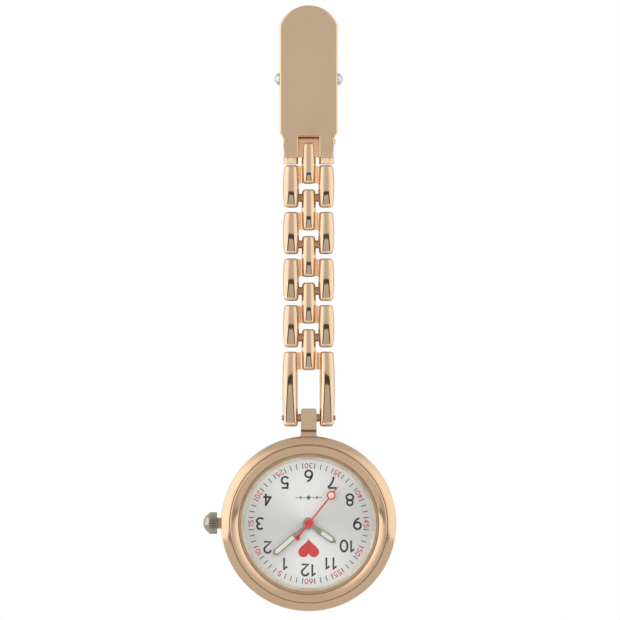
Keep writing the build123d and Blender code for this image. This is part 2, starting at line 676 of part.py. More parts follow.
# ---- movement -----------------------------------------------------------------------------------------
THIRD_PLACE = polar(THIRD_DISTANCE, THIRD_DIRECTION)
INTERMEDIATE_PLACE = polar(INTERMEDIATE_DISTANCE, INTERMEDIATE_DIRECTION)
ROTOR_STEP = polar(ROTOR_DISTANCE, ROTOR_DIRECTION)
ROTOR_PLACE = (INTERMEDIATE_PLACE[0] + ROTOR_STEP[0], INTERMEDIATE_PLACE[1] + ROTOR_STEP[1])

SECOND_MODULE = 2 * INTERMEDIATE_DISTANCE / (SECOND_WHEEL + INTERMEDIATE_PINION)
ROTOR_MODULE = 2 * ROTOR_DISTANCE / (INTERMEDIATE_WHEEL + ROTOR_PINION)
THIRD_MODULE = 2 * THIRD_DISTANCE / (THIRD_WHEEL + SECOND_PINION)
CENTRE_MODULE = 2 * THIRD_DISTANCE / (CENTRE_WHEEL + THIRD_PINION)
CANNON_MODULE = 2 * MINUTE_DISTANCE / (CANNON_PINION + MINUTE_WHEEL)
HOUR_MODULE = 2 * MINUTE_DISTANCE / (MINUTE_PINION + HOUR_WHEEL)

# the minute wheel stands where it meshes with both the cannon pinion and the setting wheel
SETTING_REACH = CANNON_MODULE * (MINUTE_WHEEL + SETTING_WHEEL) / 2
MINUTE_COSINE = (SETTING_REACH ** 2 - MINUTE_DISTANCE ** 2 - SETTING_WHEEL_X ** 2) / (
    -2 * SETTING_WHEEL_X * MINUTE_DISTANCE)
MINUTE_DIRECTION = -math.degrees(math.acos(MINUTE_COSINE))
MINUTE_PLACE = polar(MINUTE_DISTANCE, MINUTE_DIRECTION)
SETTING_PLACE = (SETTING_WHEEL_X, 0)
SETTING_DIRECTION = math.degrees(math.atan2(-MINUTE_PLACE[1], SETTING_WHEEL_X - MINUTE_PLACE[0]))


def at(place_xy, shape):
    return Pos(place_xy[0], place_xy[1], 0) * shape


def second_wheel():
    """The wheel that turns once a minute: its teeth, its pinion, and the arbor that carries the hand."""
    wheel = gear(SECOND_WHEEL, SECOND_MODULE, *SECOND_WHEEL_LAYER)
    wheel = crossed_out(wheel, 1.6, 0.6, *SECOND_WHEEL_LAYER)
    pinion = gear(SECOND_PINION, THIRD_MODULE, *SECOND_PINION_LAYER)
    return wheel + pinion + disc(ARBOR_RADIUS, BRIDGE_BACK_LEVEL + 0.1, SECOND_HAND_LEVEL + 0.15)


def intermediate_wheel():
    """The wheel between the rotor and the second wheel."""
    pinion_phase = meshing_phase(INTERMEDIATE_PINION, INTERMEDIATE_DIRECTION + 180, SECOND_WHEEL, 0)
    pinion = gear(INTERMEDIATE_PINION, SECOND_MODULE, *INTERMEDIATE_PINION_LAYER, phase=pinion_phase)
    wheel = gear(INTERMEDIATE_WHEEL, ROTOR_MODULE, *INTERMEDIATE_WHEEL_LAYER)
    wheel = crossed_out(wheel, 1.4, 0.5, *INTERMEDIATE_WHEEL_LAYER)
    return at(INTERMEDIATE_PLACE, wheel + pinion + disc(ARBOR_RADIUS, *ARBOR_LAYER))


def rotor():
    """The magnet of the stepping motor with its pinion."""
    phase = meshing_phase(ROTOR_PINION, ROTOR_DIRECTION + 180, INTERMEDIATE_WHEEL, 0)
    body = disc(0.6, *MAGNET_LAYER) + gear(ROTOR_PINION, ROTOR_MODULE, *ROTOR_PINION_LAYER, phase=phase)
    return at(ROTOR_PLACE, body + disc(ARBOR_RADIUS, *ARBOR_LAYER))


def third_wheel():
    """The wheel between the second wheel and the centre wheel."""
    phase = meshing_phase(THIRD_WHEEL, THIRD_DIRECTION + 180, SECOND_PINION, 0)
    wheel = gear(THIRD_WHEEL, THIRD_MODULE, *THIRD_WHEEL_LAYER, phase=phase)
    wheel = crossed_out(wheel, 1.75, 0.6, *THIRD_WHEEL_LAYER)
    pinion = gear(THIRD_PINION, CENTRE_MODULE, *THIRD_PINION_LAYER)
    return at(THIRD_PLACE, wheel + pinion + disc(ARBOR_RADIUS, *ARBOR_LAYER))


def centre_wheel():
    """The hourly wheel, with the cannon pinion and the tube that carries the minute hand."""
    phase = meshing_phase(CENTRE_WHEEL, THIRD_DIRECTION, THIRD_PINION, 0)
    wheel = gear(CENTRE_WHEEL, CENTRE_MODULE, *CENTRE_WHEEL_LAYER, phase=phase)
    wheel = crossed_out(wheel, 1.75, 0.7, *CENTRE_WHEEL_LAYER)
    body = wheel + disc(CANNON_RADIUS, CENTRE_WHEEL_LAYER[0] - 0.05, MINUTE_HAND_LEVEL + HAND_THICKNESS)
    body = body + gear(CANNON_PINION, CANNON_MODULE, *CANNON_LAYER)
    return body - disc(CANNON_BORE, -2, 2)


def minute_wheel():
    """The motion work's wheel and pinion, between the cannon pinion and the hour wheel."""
    phase = meshing_phase(MINUTE_WHEEL, MINUTE_DIRECTION + 180, CANNON_PINION, 0)
    body = gear(MINUTE_WHEEL, CANNON_MODULE, *MINUTE_WHEEL_LAYER, phase=phase)
    body = body + gear(MINUTE_PINION, HOUR_MODULE, *MINUTE_PINION_LAYER)
    return at(MINUTE_PLACE, body - disc(0.25, -1, 1))


def hour_wheel():
    """The wheel that turns once in twelve hours, on the tube that carries the hour hand."""
    phase = meshing_phase(HOUR_WHEEL, MINUTE_DIRECTION, MINUTE_PINION, 0)
    body = gear(HOUR_WHEEL, HOUR_MODULE, *HOUR_WHEEL_LAYER, phase=phase)
    body = body + disc(HOUR_TUBE_RADIUS, HOUR_WHEEL_LAYER[0], HOUR_HAND_LEVEL + HAND_THICKNESS)
    return body - disc(HOUR_TUBE_BORE, -1, 2)


def setting_wheel():
    """The thick wheel that carries the crown's turn to the minute wheel when the crown is pulled out."""
    minute_phase = meshing_phase(MINUTE_WHEEL, MINUTE_DIRECTION + 180, CANNON_PINION, 0)
    phase = meshing_phase(SETTING_WHEEL, SETTING_DIRECTION + 180, MINUTE_WHEEL, minute_phase)
    wheel = gear(SETTING_WHEEL, CANNON_MODULE, *SETTING_WHEEL_LAYER, bore=0.3, phase=phase)
    return at(SETTING_PLACE, wheel)


def arbor_places():
    return (THIRD_PLACE, INTERMEDIATE_PLACE, ROTOR_PLACE)


def main_plate():
    """The brass plate that everything in the movement is fixed to or runs in."""
    body = disc(PLATE_RADIUS, PLATE_BACK_LEVEL, PLATE_FRONT_LEVEL)
    for x, y in PILLARS:
        body = body + disc(PILLAR_RADIUS, BRIDGE_FRONT_LEVEL, PLATE_BACK_LEVEL, x, y)
        body = body - disc(SCREW_RADIUS, -3, SCREW_TIP + 0.05, x, y)
    body = body + disc(0.2, PLATE_FRONT_LEVEL, 0.03, *MINUTE_PLACE)
    body = body - disc(1.1, -1.0, 1, *SETTING_PLACE) + disc(STUD_RADIUS, -1.0, -0.2, *SETTING_PLACE)
    body = body - block((-7.0, -4.7), (-0.85, 0.85), (-2, 1))
    body = body - cross_rod(0.46, -10, -4, 0, STEM_LEVEL)
    lever_end = SETTING_LEVER_LAYER[0] - 0.05
    for end, pivot in ((lever_end, SETTING_LEVER_PIVOT), (YOKE_LAYER[0] - 0.1, YOKE_PIVOT)):
        body = body + disc(STUD_RADIUS, end, PLATE_BACK_LEVEL, *pivot)
    body = body - disc(BATTERY_RADIUS + 0.05, -2, -0.7, *BATTERY_PLACE)
    body = body - disc(CANNON_RADIUS + 0.07, -2, 1)
    for x, y in arbor_places():
        body = body - disc(ARBOR_HOLE, -2, 1, x, y)
    for turn in DIAL_FEET:
        body = body - disc(0.37, -2, 1, *polar(DIAL_FOOT_RADIUS, turn))
    for x in COIL_ENDS:
        body = body - disc(COIL_SCREW_RADIUS, -2, COIL_SCREW_TIP + 0.05, x, COIL_Y)
    return body


def train_bridge():
    """The bridge over the wheels, on two pillars."""
    lobes = [Pos(x, y) * Circle(LOBE_RADIUS) for x, y in ((0, 0),) + arbor_places() + PILLARS]
    edges = [edge for lobe in lobes for edge in lobe.edges()]
    body = Pos(0, 0, BRIDGE_BACK_LEVEL) * extrude(make_hull(edges), BRIDGE_FRONT_LEVEL - BRIDGE_BACK_LEVEL)
    for x, y in ((0, 0),) + arbor_places():
        body = body - disc(ARBOR_HOLE, -4, 0, x, y)
    for x, y in PILLARS:
        body = body - disc(SCREW_RADIUS, -4, 0, x, y)
    return body


def movement_holder():
    """The plastic ring between the movement and the case."""
    inner, outer = HOLDER_RADII
    low, step, top = HOLDER_LEVELS
    body = turned_points((PLATE_RADIUS, low), (inner, low), (inner, step), (outer, step), (outer, top),
                         (PLATE_RADIUS, top))
    return body - cross_rod(0.5, -13, -8, 0, STEM_LEVEL)


def stator():
    """The soft iron plate that brings the coil's field to the rotor."""
    body = disc(1.4, *STATOR_LAYER, *ROTOR_PLACE) + block(CORE_REACH, (-5.2, -4.0), STATOR_LAYER)
    for x in COIL_ENDS:
        body = body + block((x - 0.55, x + 0.55), (COIL_Y - 0.7, -4.5), STATOR_LAYER)
        body = body - disc(COIL_SCREW_RADIUS, -3, 0, x, COIL_Y)
    return body - disc(0.85, -3, 0, *ROTOR_PLACE)


def coil_core():
    """The soft iron bar through the coil."""
    body = block(CORE_REACH, (COIL_Y - CORE_HALF, COIL_Y + CORE_HALF), CORE_LAYER)
    for x in COIL_ENDS:
        body = body - disc(COIL_SCREW_RADIUS, -3, 0, x, COIL_Y)
    return body


def coil():
    """The copper winding."""
    body = cross_rod(COIL_RADIUS, *COIL_REACH, COIL_Y, COIL_LEVEL)
    return body - block(CORE_REACH, (COIL_Y - CORE_HALF, COIL_Y + CORE_HALF), CORE_LAYER)


def circuit_board():
    """The board that carries the chip and the quartz crystal."""
    return disc(BOARD_RADIUS, *BOARD_LAYER) & block((-10, 10), (BOARD_EDGE, 10), (-2, 0))


def chip():
    return block((-3.9, -2.1), (5.6, 7.4), CHIP_LAYER)


def quartz_can():
    """The quartz resonator's can and its two leads on the board."""
    body = cross_rod(0.65, 0.6, 5.6, 6.2, -2.1)
    for y in (6.0, 6.4):
        body = body + block((-0.5, 0.7), (y - 0.07, y + 0.07), (-2.15, -2.02))
        body = body + block((-0.5, -0.36), (y - 0.07, y + 0.07), (-2.15, -1.4))
    return body


def battery():
    """The button cell: its can, and the smaller cap on its dial side."""
    x, y = BATTERY_PLACE
    return disc(BATTERY_RADIUS, *CELL_LAYER, x, y) + disc(BATTERY_RADIUS - 0.5, *CELL_CAP_LAYER, x, y)


def battery_clamp():
    """The sprung strip that holds the cell and joins it to the board."""
    width = (3.9, 5.1)
    strip = block(width, (-0.5, 7.4), CLAMP_LAYER)
    return strip + block(width, (7.25, 7.4), (CLAMP_LAYER[0], BOARD_LAYER[0]))


def screw(x, y, head, shank, levels, slot_depth):
    """A slotted screw, given the levels of its head's top, its seat and its tip."""
    top, seat, tip = levels
    width = (x - head - 0.2, x + head + 0.2)
    slot = block(width, (y - SLOT_HALF, y + SLOT_HALF), (top - 0.2, top + slot_depth))
    return disc(head, top, seat, x, y) + disc(shank, seat, tip, x, y) - slot


def movement_screws():
    """Two screws on the bridge's pillars and two through the coil's core."""
    screws = Part()
    for x, y in PILLARS:
        seat = BRIDGE_BACK_LEVEL
        screws = screws + screw(x, y, 0.75, SCREW_RADIUS, (seat - 0.17, seat, SCREW_TIP), 0.09)
    for x in COIL_ENDS:
        seat = CORE_LAYER[0]
        screws = screws + screw(x, COIL_Y, 0.5, COIL_SCREW_RADIUS, (seat - 0.25, seat, COIL_SCREW_TIP), 0.1)
    return screws


def setting_lever():
    """The lever whose pin sits in the stem's groove."""
    x, y = SETTING_LEVER_PIVOT
    pin_x = -7.55
    ends = (Pos(x, y) * Circle(0.6)).edges() + (Pos(pin_x, 0) * Circle(0.35)).edges()
    low, high = SETTING_LEVER_LAYER
    body = Pos(0, 0, low) * extrude(make_hull(ends), high - low)
    body = body + disc(0.17, high, high + 0.3, pin_x, 0)
    return body - disc(STUD_RADIUS + 0.05, -3, 0, x, y)


def yoke():
    """The lever whose finger sits in the clutch's groove."""
    x, y = YOKE_PIVOT
    finger = (-5.9, 0.58)
    ends = (Pos(x, y) * Circle(0.5)).edges() + (Pos(finger[0], 0.95) * Circle(0.08)).edges()
    plan = make_hull(ends) + Pos(finger[0], 0.8) * Rectangle(0.14, 0.5)
    low, high = YOKE_LAYER
    return Pos(0, 0, low) * extrude(plan, high - low) - disc(STUD_RADIUS + 0.05, -3, 0, x, y)


# ---- the assembly -------------------------------------------------------------------------------------
def parts_on_the_clip():
    return {"clip_plate": clip_plate(), "clip_axle": clip_axle(), "clip_lever": clip_lever(),
            "clip_spring": clip_spring()}


def parts_in_the_head():
    """Everything that moves with the case, each drawn about the case's centre."""
    hour, hour_lume = filled_hand(HOUR_HAND, HOUR_HUB, HOUR_TUBE_RADIUS, HOUR_HAND_LEVEL, HOUR_STRIP,
                                  HOUR_ANGLE)
    minute, minute_lume = filled_hand(MINUTE_HAND, MINUTE_HUB, CANNON_RADIUS, MINUTE_HAND_LEVEL,
                                      MINUTE_STRIP, MINUTE_ANGLE)
    return {
        "case_body": case_body(), "bezel": bezel(), "crystal": crystal(),
        "crystal_gasket": crystal_gasket(), "dial_ring": dial_ring(), "dial": dial(),
        "case_back": case_back(), "back_gasket": back_gasket(), "crown": crown(),
        "crown_gasket": crown_gasket(), "crown_tube": crown_tube(), "stem": stem(), "clutch": clutch(),
        "hour_hand": hour, "hour_hand_lume": hour_lume, "minute_hand": minute,
        "minute_hand_lume": minute_lume, "second_hand": second_hand(), "second_hand_lume": second_lume(),
        "movement_holder": movement_holder(), "main_plate": main_plate(), "train_bridge": train_bridge(),
        "centre_wheel": centre_wheel(), "third_wheel": third_wheel(), "second_wheel": second_wheel(),
        "intermediate_wheel": intermediate_wheel(), "rotor": rotor(), "minute_wheel": minute_wheel(),
        "hour_wheel": hour_wheel(), "setting_wheel": setting_wheel(), "setting_lever": setting_lever(),
        "yoke": yoke(), "coil": coil(), "coil_core": coil_core(), "stator": stator(),
        "circuit_board": circuit_board(), "chip": chip(), "quartz_can": quartz_can(),
        "battery": battery(), "battery_clamp": battery_clamp(), "movement_screws": movement_screws(),
    }


def pin_heights():
    """The heights of the chain's pins: the clip's, the links' and the bow's."""
    heights = [PIN_1_Z] + [PIN_2_Z - n * LINK_PITCH for n in range(LINK_COUNT)]
    return heights + [heights[-1] - SHACKLE_PITCH]


def assembly():
    """Every node by name, in its place."""
    nodes = {name: place(shape, 0) for name, shape in parts_on_the_clip().items()}
    heights = pin_heights()
    for n in range(LINK_COUNT):
        nodes[f"link_{n + 1}"] = place(link(first=n == 0), heights[n])
    nodes["shackle"] = place(shackle(), heights[LINK_COUNT])
    nodes["clip_pin"] = place(link_pin(EAR_WIDTH + 0.1), heights[0])
    for n in range(LINK_COUNT):
        nodes[f"link_pin_{n + 1}"] = place(link_pin(LINK_GAP + 2 * SIDE_BAR_WIDTH - 0.2), heights[n + 1])
    nodes["bow_pin"] = place(link_pin(SHACKLE_WIDTH + 0.2), heights[-1])
    for name, shape in parts_in_the_head().items():
        nodes[name] = place(shape, HEAD_Z)
    return nodes


def main():
    os.makedirs("parts", exist_ok=True)
    for name, shape in assembly().items():
        shape.label = name
        export_step(shape, f"parts/{name}.step")
        print(f"{name}: {shape.volume:.3f} mm3")


main()
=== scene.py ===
import cmath
import json
import math

import bmesh
import bpy
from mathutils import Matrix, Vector


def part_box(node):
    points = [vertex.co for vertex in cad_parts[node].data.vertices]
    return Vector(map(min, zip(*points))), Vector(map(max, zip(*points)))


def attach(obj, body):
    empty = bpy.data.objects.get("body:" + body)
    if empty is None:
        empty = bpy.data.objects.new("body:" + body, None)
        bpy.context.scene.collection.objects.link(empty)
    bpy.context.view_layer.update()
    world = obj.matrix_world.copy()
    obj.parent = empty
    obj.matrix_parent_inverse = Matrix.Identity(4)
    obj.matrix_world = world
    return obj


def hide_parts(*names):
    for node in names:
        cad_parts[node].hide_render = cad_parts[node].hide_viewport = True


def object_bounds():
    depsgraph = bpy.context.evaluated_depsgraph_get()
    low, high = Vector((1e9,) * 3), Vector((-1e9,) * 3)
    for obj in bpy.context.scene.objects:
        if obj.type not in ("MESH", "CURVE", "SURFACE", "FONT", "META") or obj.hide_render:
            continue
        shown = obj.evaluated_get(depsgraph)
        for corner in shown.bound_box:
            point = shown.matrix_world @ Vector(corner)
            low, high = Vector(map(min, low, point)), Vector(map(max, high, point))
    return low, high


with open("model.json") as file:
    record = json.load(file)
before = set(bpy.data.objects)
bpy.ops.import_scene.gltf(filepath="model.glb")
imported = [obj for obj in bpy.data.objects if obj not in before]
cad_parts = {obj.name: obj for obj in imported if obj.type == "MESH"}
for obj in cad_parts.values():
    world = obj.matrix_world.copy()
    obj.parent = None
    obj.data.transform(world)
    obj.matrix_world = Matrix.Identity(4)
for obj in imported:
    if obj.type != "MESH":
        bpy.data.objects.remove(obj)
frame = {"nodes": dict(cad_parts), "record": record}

# The looks of the fob watch. Shapes are drawn in millimetres in a face frame: x to the viewer's right, y up,
# z out of the dial towards the viewer, with z = 0 on the middle plane of the clip, the chain and the case.
# A level is a z. stand() turns points into the row frame, in metres.
MM = 0.001
CAD_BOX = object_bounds()


# ---- places, read from the frame ----
def middle(node):
    low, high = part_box(node)
    return (low + high) / 2


def span(node, axis):
    """How long a CAD node is along an axis, in millimetres."""
    low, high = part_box(node)
    return (high[axis] - low[axis]) / MM


def levels(node):
    """The levels of the back and the front of a CAD node."""
    low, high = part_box(node)
    return (MIDDLE_Y - high.y) / MM, (MIDDLE_Y - low.y) / MM


MIDDLE_Y = middle("clip_pin").y
HEAD_Z = middle("crystal").z
PIN_NODES = ["clip_pin"] + [f"link_pin_{n}" for n in range(1, 5)] + ["bow_pin"]
CHAIN_BODIES = [f"link_{n}" for n in range(1, 5)] + ["shackle"]
PIN_Z = [middle(node).z for node in PIN_NODES]
DEEP = span("link_1", 1) / 2
PLATE_HALF = span("clip_plate", 0) / 2
PLATE_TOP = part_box("clip_plate")[1].z / MM
EAR_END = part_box("clip_plate")[0].z / MM
AXLE_Z = middle("clip_axle").z / MM
AXLE_LEVEL = sum(levels("clip_axle")) / 2
CASE_RADIUS = span("case_body", 0) / 2
BOW_TOP = (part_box("case_body")[1].z - HEAD_Z) / MM
BACK_FACE = levels("case_back")[0]
DIAL_TOP = levels("dial")[1]
CRYSTAL_RADIUS = span("crystal", 0) / 2
CRYSTAL_BACK, CRYSTAL_FRONT = levels("crystal")
STEM_LEVEL = sum(levels("crown_tube")) / 2
CROWN_INNER = -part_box("crown")[1].x / MM
CROWN_OUTER = -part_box("crown")[0].x / MM

# ---- sizes of the clip, in millimetres ----
NOTCH_HALF = 1.65
NOTCH_TOP = -1.6
EAR_HALF = 4.0
EAR_TAPER = 0.15
EAR_SLOPE = 1.05
SHOULDER_Z = -1.1
SHOULDER_DROP = 0.7
SHOULDER_RADIUS = 0.9
PLATE_ARC = 5.0
PLATE_CORNER = 1.5
PLATE_WALL = 0.9
PLATE_SHEET = 1.0
TRAY_FOOT = 1.8
LUG_HALF = 1.6
AXLE_RADIUS = 0.5
AXLE_HEAD = 1.03
LEVER_LINE = ((18.2, -5.0), (12.5, -4.3), (8.9, -4.2), (4.6, -3.8), (1.9, -2.4), (0.7, -1.75))
LEVER_SHEET = 0.6
LEVER_CHEEKS = (3.05, 3.55)
CHEEK_HALF = 1.2
GRIP_RIBS = 4
GRIP_PITCH = 0.7
BITE = -1.22
SPRING_WIRE = 0.4
SPRING_RADIUS = 1.05
SPRING_PITCH = 0.52
SPRING_LEG = 3.7
FRONT_LEG_LEAN = 15
REAR_LEG_LEAN = 10
SPRING_TURNS = 5 + (180 - FRONT_LEG_LEAN - REAR_LEG_LEAN) / 360

# ---- sizes of the chain ----
CENTRE_TOP = 1.35
CENTRE_WIDTH = 2.32
CENTRE_LENGTH = 6.6
SIDE_TOP = -2.25
SIDE_LENGTH = 6.8
SHACKLE_LENGTH = 12.0
BRIDGE_FRONT = 0.35
BRIDGE_BACK = -0.9
BRIDGE_HOLLOW = 0.35
PIN_RADIUS = 0.43
COLLAR_RADIUS = 0.66
LINK_CENTRE = dict(fall=0.18, apex=0.42, waist=0.24)
LINK_SIDE = dict(x=2.81, width=2.6, length=SIDE_LENGTH, waist=0.4, shift=0.05, fall=0.25, apex=0.2)
FIRST_CENTRE = dict(fall=0.16, apex=0.56, waist=0.24)
FIRST_SIDE = dict(LINK_SIDE, fall=0.22, apex=0.37)
SHACKLE_SIDE = dict(x=2.97, width=2.46, length=SHACKLE_LENGTH, waist=0.24, shift=0.12, fall=0.53, apex=0.08)

# ---- sizes of the watch head ----
BACK_SEAT = -3.0
BACK_BORE = 11.6
GROOVE_RADIUS = 12.54
GROOVE_WALL = GROOVE_RADIUS + 0.05
BEZEL_FOOT = 1.2
BEZEL_SEAT = 1.9
BEZEL_CREST = (12.35, 3.42)
BEZEL_LIP = (11.3, 3.05)
BEZEL_BORE = 11.0
BEZEL_INNER = 12.0
FLANGE_TOP_RADIUS = 10.7
FLANGE_TOP = 1.88
DIAL_OPENING = 10.15
BOW_FOOT = 12.8
BOW_HALF = 1.26
BOW_NECK = 14.1
CROWN_RADIUS = 1.745
CROWN_DOME = 1.55
CROWN_BORE = 0.95
KNURL_LENGTH = 1.3
KNURL_RIBS = 24
KNURL_DEPTH = 0.26
COLLAR_FOOT = 11.8
COLLAR_BORE = 0.5
COLLAR_TUBE = 0.92
COLLAR_GROOVE = 0.84
PRINT_RISE = 0.012
PEN = 0.15
RING_PLACE = 5.8
WEIGHT_PLACE = -2.9
HEART_PLACE = -4.15
ORNAMENT_PLACE = 4.16

# ---- the studio: lengths in metres, directions in degrees, brightness with 1 as white ----------------
FRAME_WIDTH = 99.2 * MM
FRAME_MIDDLE = (0.21 * MM, -29.4 * MM)
CAMERA_DISTANCE = 0.9
SENSOR = 36
FLOOR_DROP = 0.02
FLOOR_RADIUS = 0.16 / MM
PANEL = 0.78
LOW_PANEL = 0.67
SIDES = 1.67
RIGHT_SIDE = 0.86 * SIDES
BEHIND = 0.8
ABOVE = 0.72
BELOW = 0.56
FOOT_LIGHT = 1.3
PATCH = 0.09
PATCH_HALF = 35.0
PATCH_TOP = 3.2
PATCH_END = 5.2
PATCH_BEND = 45.0
LINES_END = 12.5
LINE_WIDTH = 17.0
LINE_SPREAD = 4.2


# ---- mesh helpers ----
def stand(point, height):
    x, y, z = point
    return Vector((x * MM, MIDDLE_Y - z * MM, height + y * MM))


def polar(radius, degrees):
    return radius * math.cos(math.radians(degrees)), radius * math.sin(math.radians(degrees))


def rounded(points, step=9.0):
    """A closed outline from (u, v, corner radius) points, with each corner as an arc."""
    outline = []
    for i, (u, v, radius) in enumerate(points):
        here = Vector((u, v))
        if radius <= 0:
            outline.append((u, v))
            continue
        before = (Vector(points[i - 1][:2]) - here).normalized()
        after = (Vector(points[(i + 1) % len(points)][:2]) - here).normalized()
        opening = before.angle(after)
        centre = here + (before + after).normalized() * (radius / math.sin(opening / 2))
        start = here + before * (radius / math.tan(opening / 2)) - centre
        first = math.degrees(math.atan2(start.y, start.x))
        turn = math.degrees(math.copysign(math.pi - opening, -before.cross(after)))
        outline += arc(centre, radius, first, first + turn, max(2, math.ceil(abs(turn) / step)))
    return [point for i, point in enumerate(outline) if math.dist(point, outline[i - 1]) > 1e-6]


def mirrored(right):
    """A closed outline from its right half, drawn upwards, and the same points on the left."""
    return right + [(-x, *rest) for x, *rest in reversed(right)]


def tab(centre, half, foot, tip, radius=0.0, foot_radius=0.0, step=9.0):
    """The outline of a plate this half wide that reaches from a foot to a rounded tip."""
    return rounded([(centre - half, foot, foot_radius), (centre + half, foot, foot_radius),
                    (centre + half, tip, radius), (centre - half, tip, radius)], step)


def mitre(before, here, after, distance, least):
    """How a corner moves when the lines beside it move to their left. least holds back sharp corners."""
    first, second = (here - before).normalized(), (after - here).normalized()
    along = first + second
    return Vector((-along.y, along.x)) * (distance / max(least, 1 + first.dot(second)))


def inset(outline, distance):
    """The outline, drawn anticlockwise, moved inwards by a distance."""
    line = [Vector(point) for point in outline]
    corners = zip(line[-1:] + line[:-1], line, line[1:] + line[:1])
    return [tuple(here + mitre(before, here, after, distance, 0.2)) for before, here, after in corners]


def tiled(rows, around):
    """The faces of rows of points that go round, and of the two ends."""
    faces = []
    for n in range(rows - 1):
        for i in range(around):
            j = (i + 1) % around
            faces.append((n * around + i, n * around + j, (n + 1) * around + j, (n + 1) * around + i))
    faces.append(tuple(reversed(range(around))))
    faces.append(tuple(range((rows - 1) * around, rows * around)))
    return faces


def slab(outline, low, high, front=0.0, back=0.0, steps=4):
    """A closed plate between two levels, with its front and back edges rounded."""
    rise = [math.pi / 2 * k / steps for k in range(steps + 1)]
    rows = [(0.0, low)]
    if back > 0:
        rows = [(back * (1 - math.sin(a)), low + back * (1 - math.cos(a))) for a in rise]
    if front > 0:
        rows += [(front * (1 - math.sin(a)), high - front * (1 - math.cos(a))) for a in reversed(rise)]
    else:
        rows.append((0.0, high))
    verts = [(u, v, level) for distance, level in rows for u, v in inset(outline, distance)]
    return verts, tiled(len(rows), len(outline))


def lathe(outline, steps=192, wobble=None):
    """Turn a closed (radius, level) outline about the z axis. wobble(angle) scales the radius.
    as_object() merges the copies of a point on the axis."""
    verts, faces, count = [], [], len(outline)
    for s in range(steps):
        angle = 2 * math.pi * s / steps
        scale = wobble(angle) if wobble else 1.0
        u, v = scale * math.cos(angle), scale * math.sin(angle)
        verts += [(radius * u, radius * v, level) for radius, level in outline]
        here, there = s * count, (s + 1) % steps * count
        for i in range(count):
            j = (i + 1) % count
            faces.append((here + i, there + i, there + j, here + j))
    return verts, faces


def arc(centre, radius, start, end, count=14):
    """Points on a circle from one angle to another."""
    turns = [polar(radius, start + (end - start) * k / count) for k in range(count + 1)]
    return [(centre[0] + u, centre[1] + v) for u, v in turns]


def arc_through(first, second, third, count=14):
    """Points on the circle through three points."""
    a, b, c = (complex(*point) for point in (first, second, third))
    w = (c - a) / (b - a)
    centre = a + (b - a) * (w - abs(w) ** 2) / (2j * w.imag)
    start = math.degrees(cmath.phase(a - centre))
    turn = math.degrees(cmath.phase((c - centre) / (a - centre)))
    return arc((centre.real, centre.imag), abs(a - centre), start, start + turn, count)


def dome(base, low, high, count):
    """The profile of a round cap of this base radius between two levels, up to the axis."""
    return arc_through((base, low), (0, high), (-base, low), 2 * count)[:count] + [(0, high)]


def moved(shape, rule):
    """A shape with every point (x, y, z) put where the rule says."""
    verts, faces = shape
    return [rule(*point) for point in verts], faces


def shifted(shape, x=0.0, y=0.0):
    return moved(shape, lambda u, v, w: (u + x, v + y, w))


def turned(shape, degrees):
    """Turn a shape about the z axis."""
    c, s = polar(1.0, degrees)
    return moved(shape, lambda x, y, z: (c * x - s * y, s * x + c * y, z))


def from_side(shape):
    """A shape drawn with (y, z) as its plan and x as its level, put back in the face frame."""
    return moved(shape, lambda u, v, w: (w, u, v))


def along_stem(shape):
    """A shape drawn along z, turned to point out of the case on the crown's side."""
    return moved(shape, lambda x, y, z: (-z, y, x + STEM_LEVEL))


def joined(shapes):
    """Several shapes as one."""
    verts, faces = [], []
    for some_verts, some_faces in shapes:
        base = len(verts)
        verts += some_verts
        faces += [tuple(i + base for i in face) for face in some_faces]
    return verts, faces


def smoothed(points, reach, steps=6):
    """An open line of (u, v) points with each bend drawn as a curve that starts and ends this far from it."""
    line = [points[0]]
    for before, here, after in zip(points, points[1:], points[2:]):
        corner = Vector(here)
        start = corner + (Vector(before) - corner).normalized() * reach
        end = corner + (Vector(after) - corner).normalized() * reach
        for k in range(steps + 1):
            t = k / steps
            point = start * (1 - t) ** 2 + corner * 2 * t * (1 - t) + end * t ** 2
            line.append((point.x, point.y))
    return line + [points[-1]]


def directed(points):
    """The points of an open line as vectors, each with the line's direction there."""
    line = [Vector(point) for point in points]
    ends = zip(line[:1] + line, line, line[1:] + line[-1:])
    return [(here, (after - before).normalized()) for before, here, after in ends]


def strip(line, thickness):
    """The outline of a sheet of this thickness that follows an open line."""
    left, right = [], []
    for here, along in directed(line):
        across = Vector((-along.y, along.x)) * thickness / 2
        left.append(tuple(here + across))
        right.append(tuple(here - across))
    return left + right[::-1]


def tube(points, radius, around=14):
    """A closed round wire that follows a line of points."""
    verts = []
    across = Vector((0.31, 0.17, 0.93))
    for here, along in directed(points):
        across = (across - along * across.dot(along)).normalized()
        beside = along.cross(across)
        for k in range(around):
            angle = 2 * math.pi * k / around
            verts.append(tuple(here + (across * math.cos(angle) + beside * math.sin(angle)) * radius))
    return verts, tiled(len(points), around)


def as_object(name, shape, height=0.0):
    """Make an object of a shape, with the face frame's y = 0 at this height."""
    verts, faces = shape
    mesh = bpy.data.meshes.new(name)
    mesh.from_pydata([stand(v, height) for v in verts], [], faces)
    build = bmesh.new()
    build.from_mesh(mesh)
    bmesh.ops.remove_doubles(build, verts=build.verts, dist=1e-7)
    bmesh.ops.dissolve_degenerate(build, edges=build.edges, dist=1e-7)
    bmesh.ops.recalc_face_normals(build, faces=build.faces)
    build.to_mesh(mesh)
    build.free()
    made = bpy.data.objects.new(name, mesh)
    bpy.context.scene.collection.objects.link(made)
    return made


def apply_modifiers(target):
    graph = bpy.context.evaluated_depsgraph_get()
    result = bpy.data.meshes.new_from_object(target.evaluated_get(graph))
    target.modifiers.clear()
    target.data = result


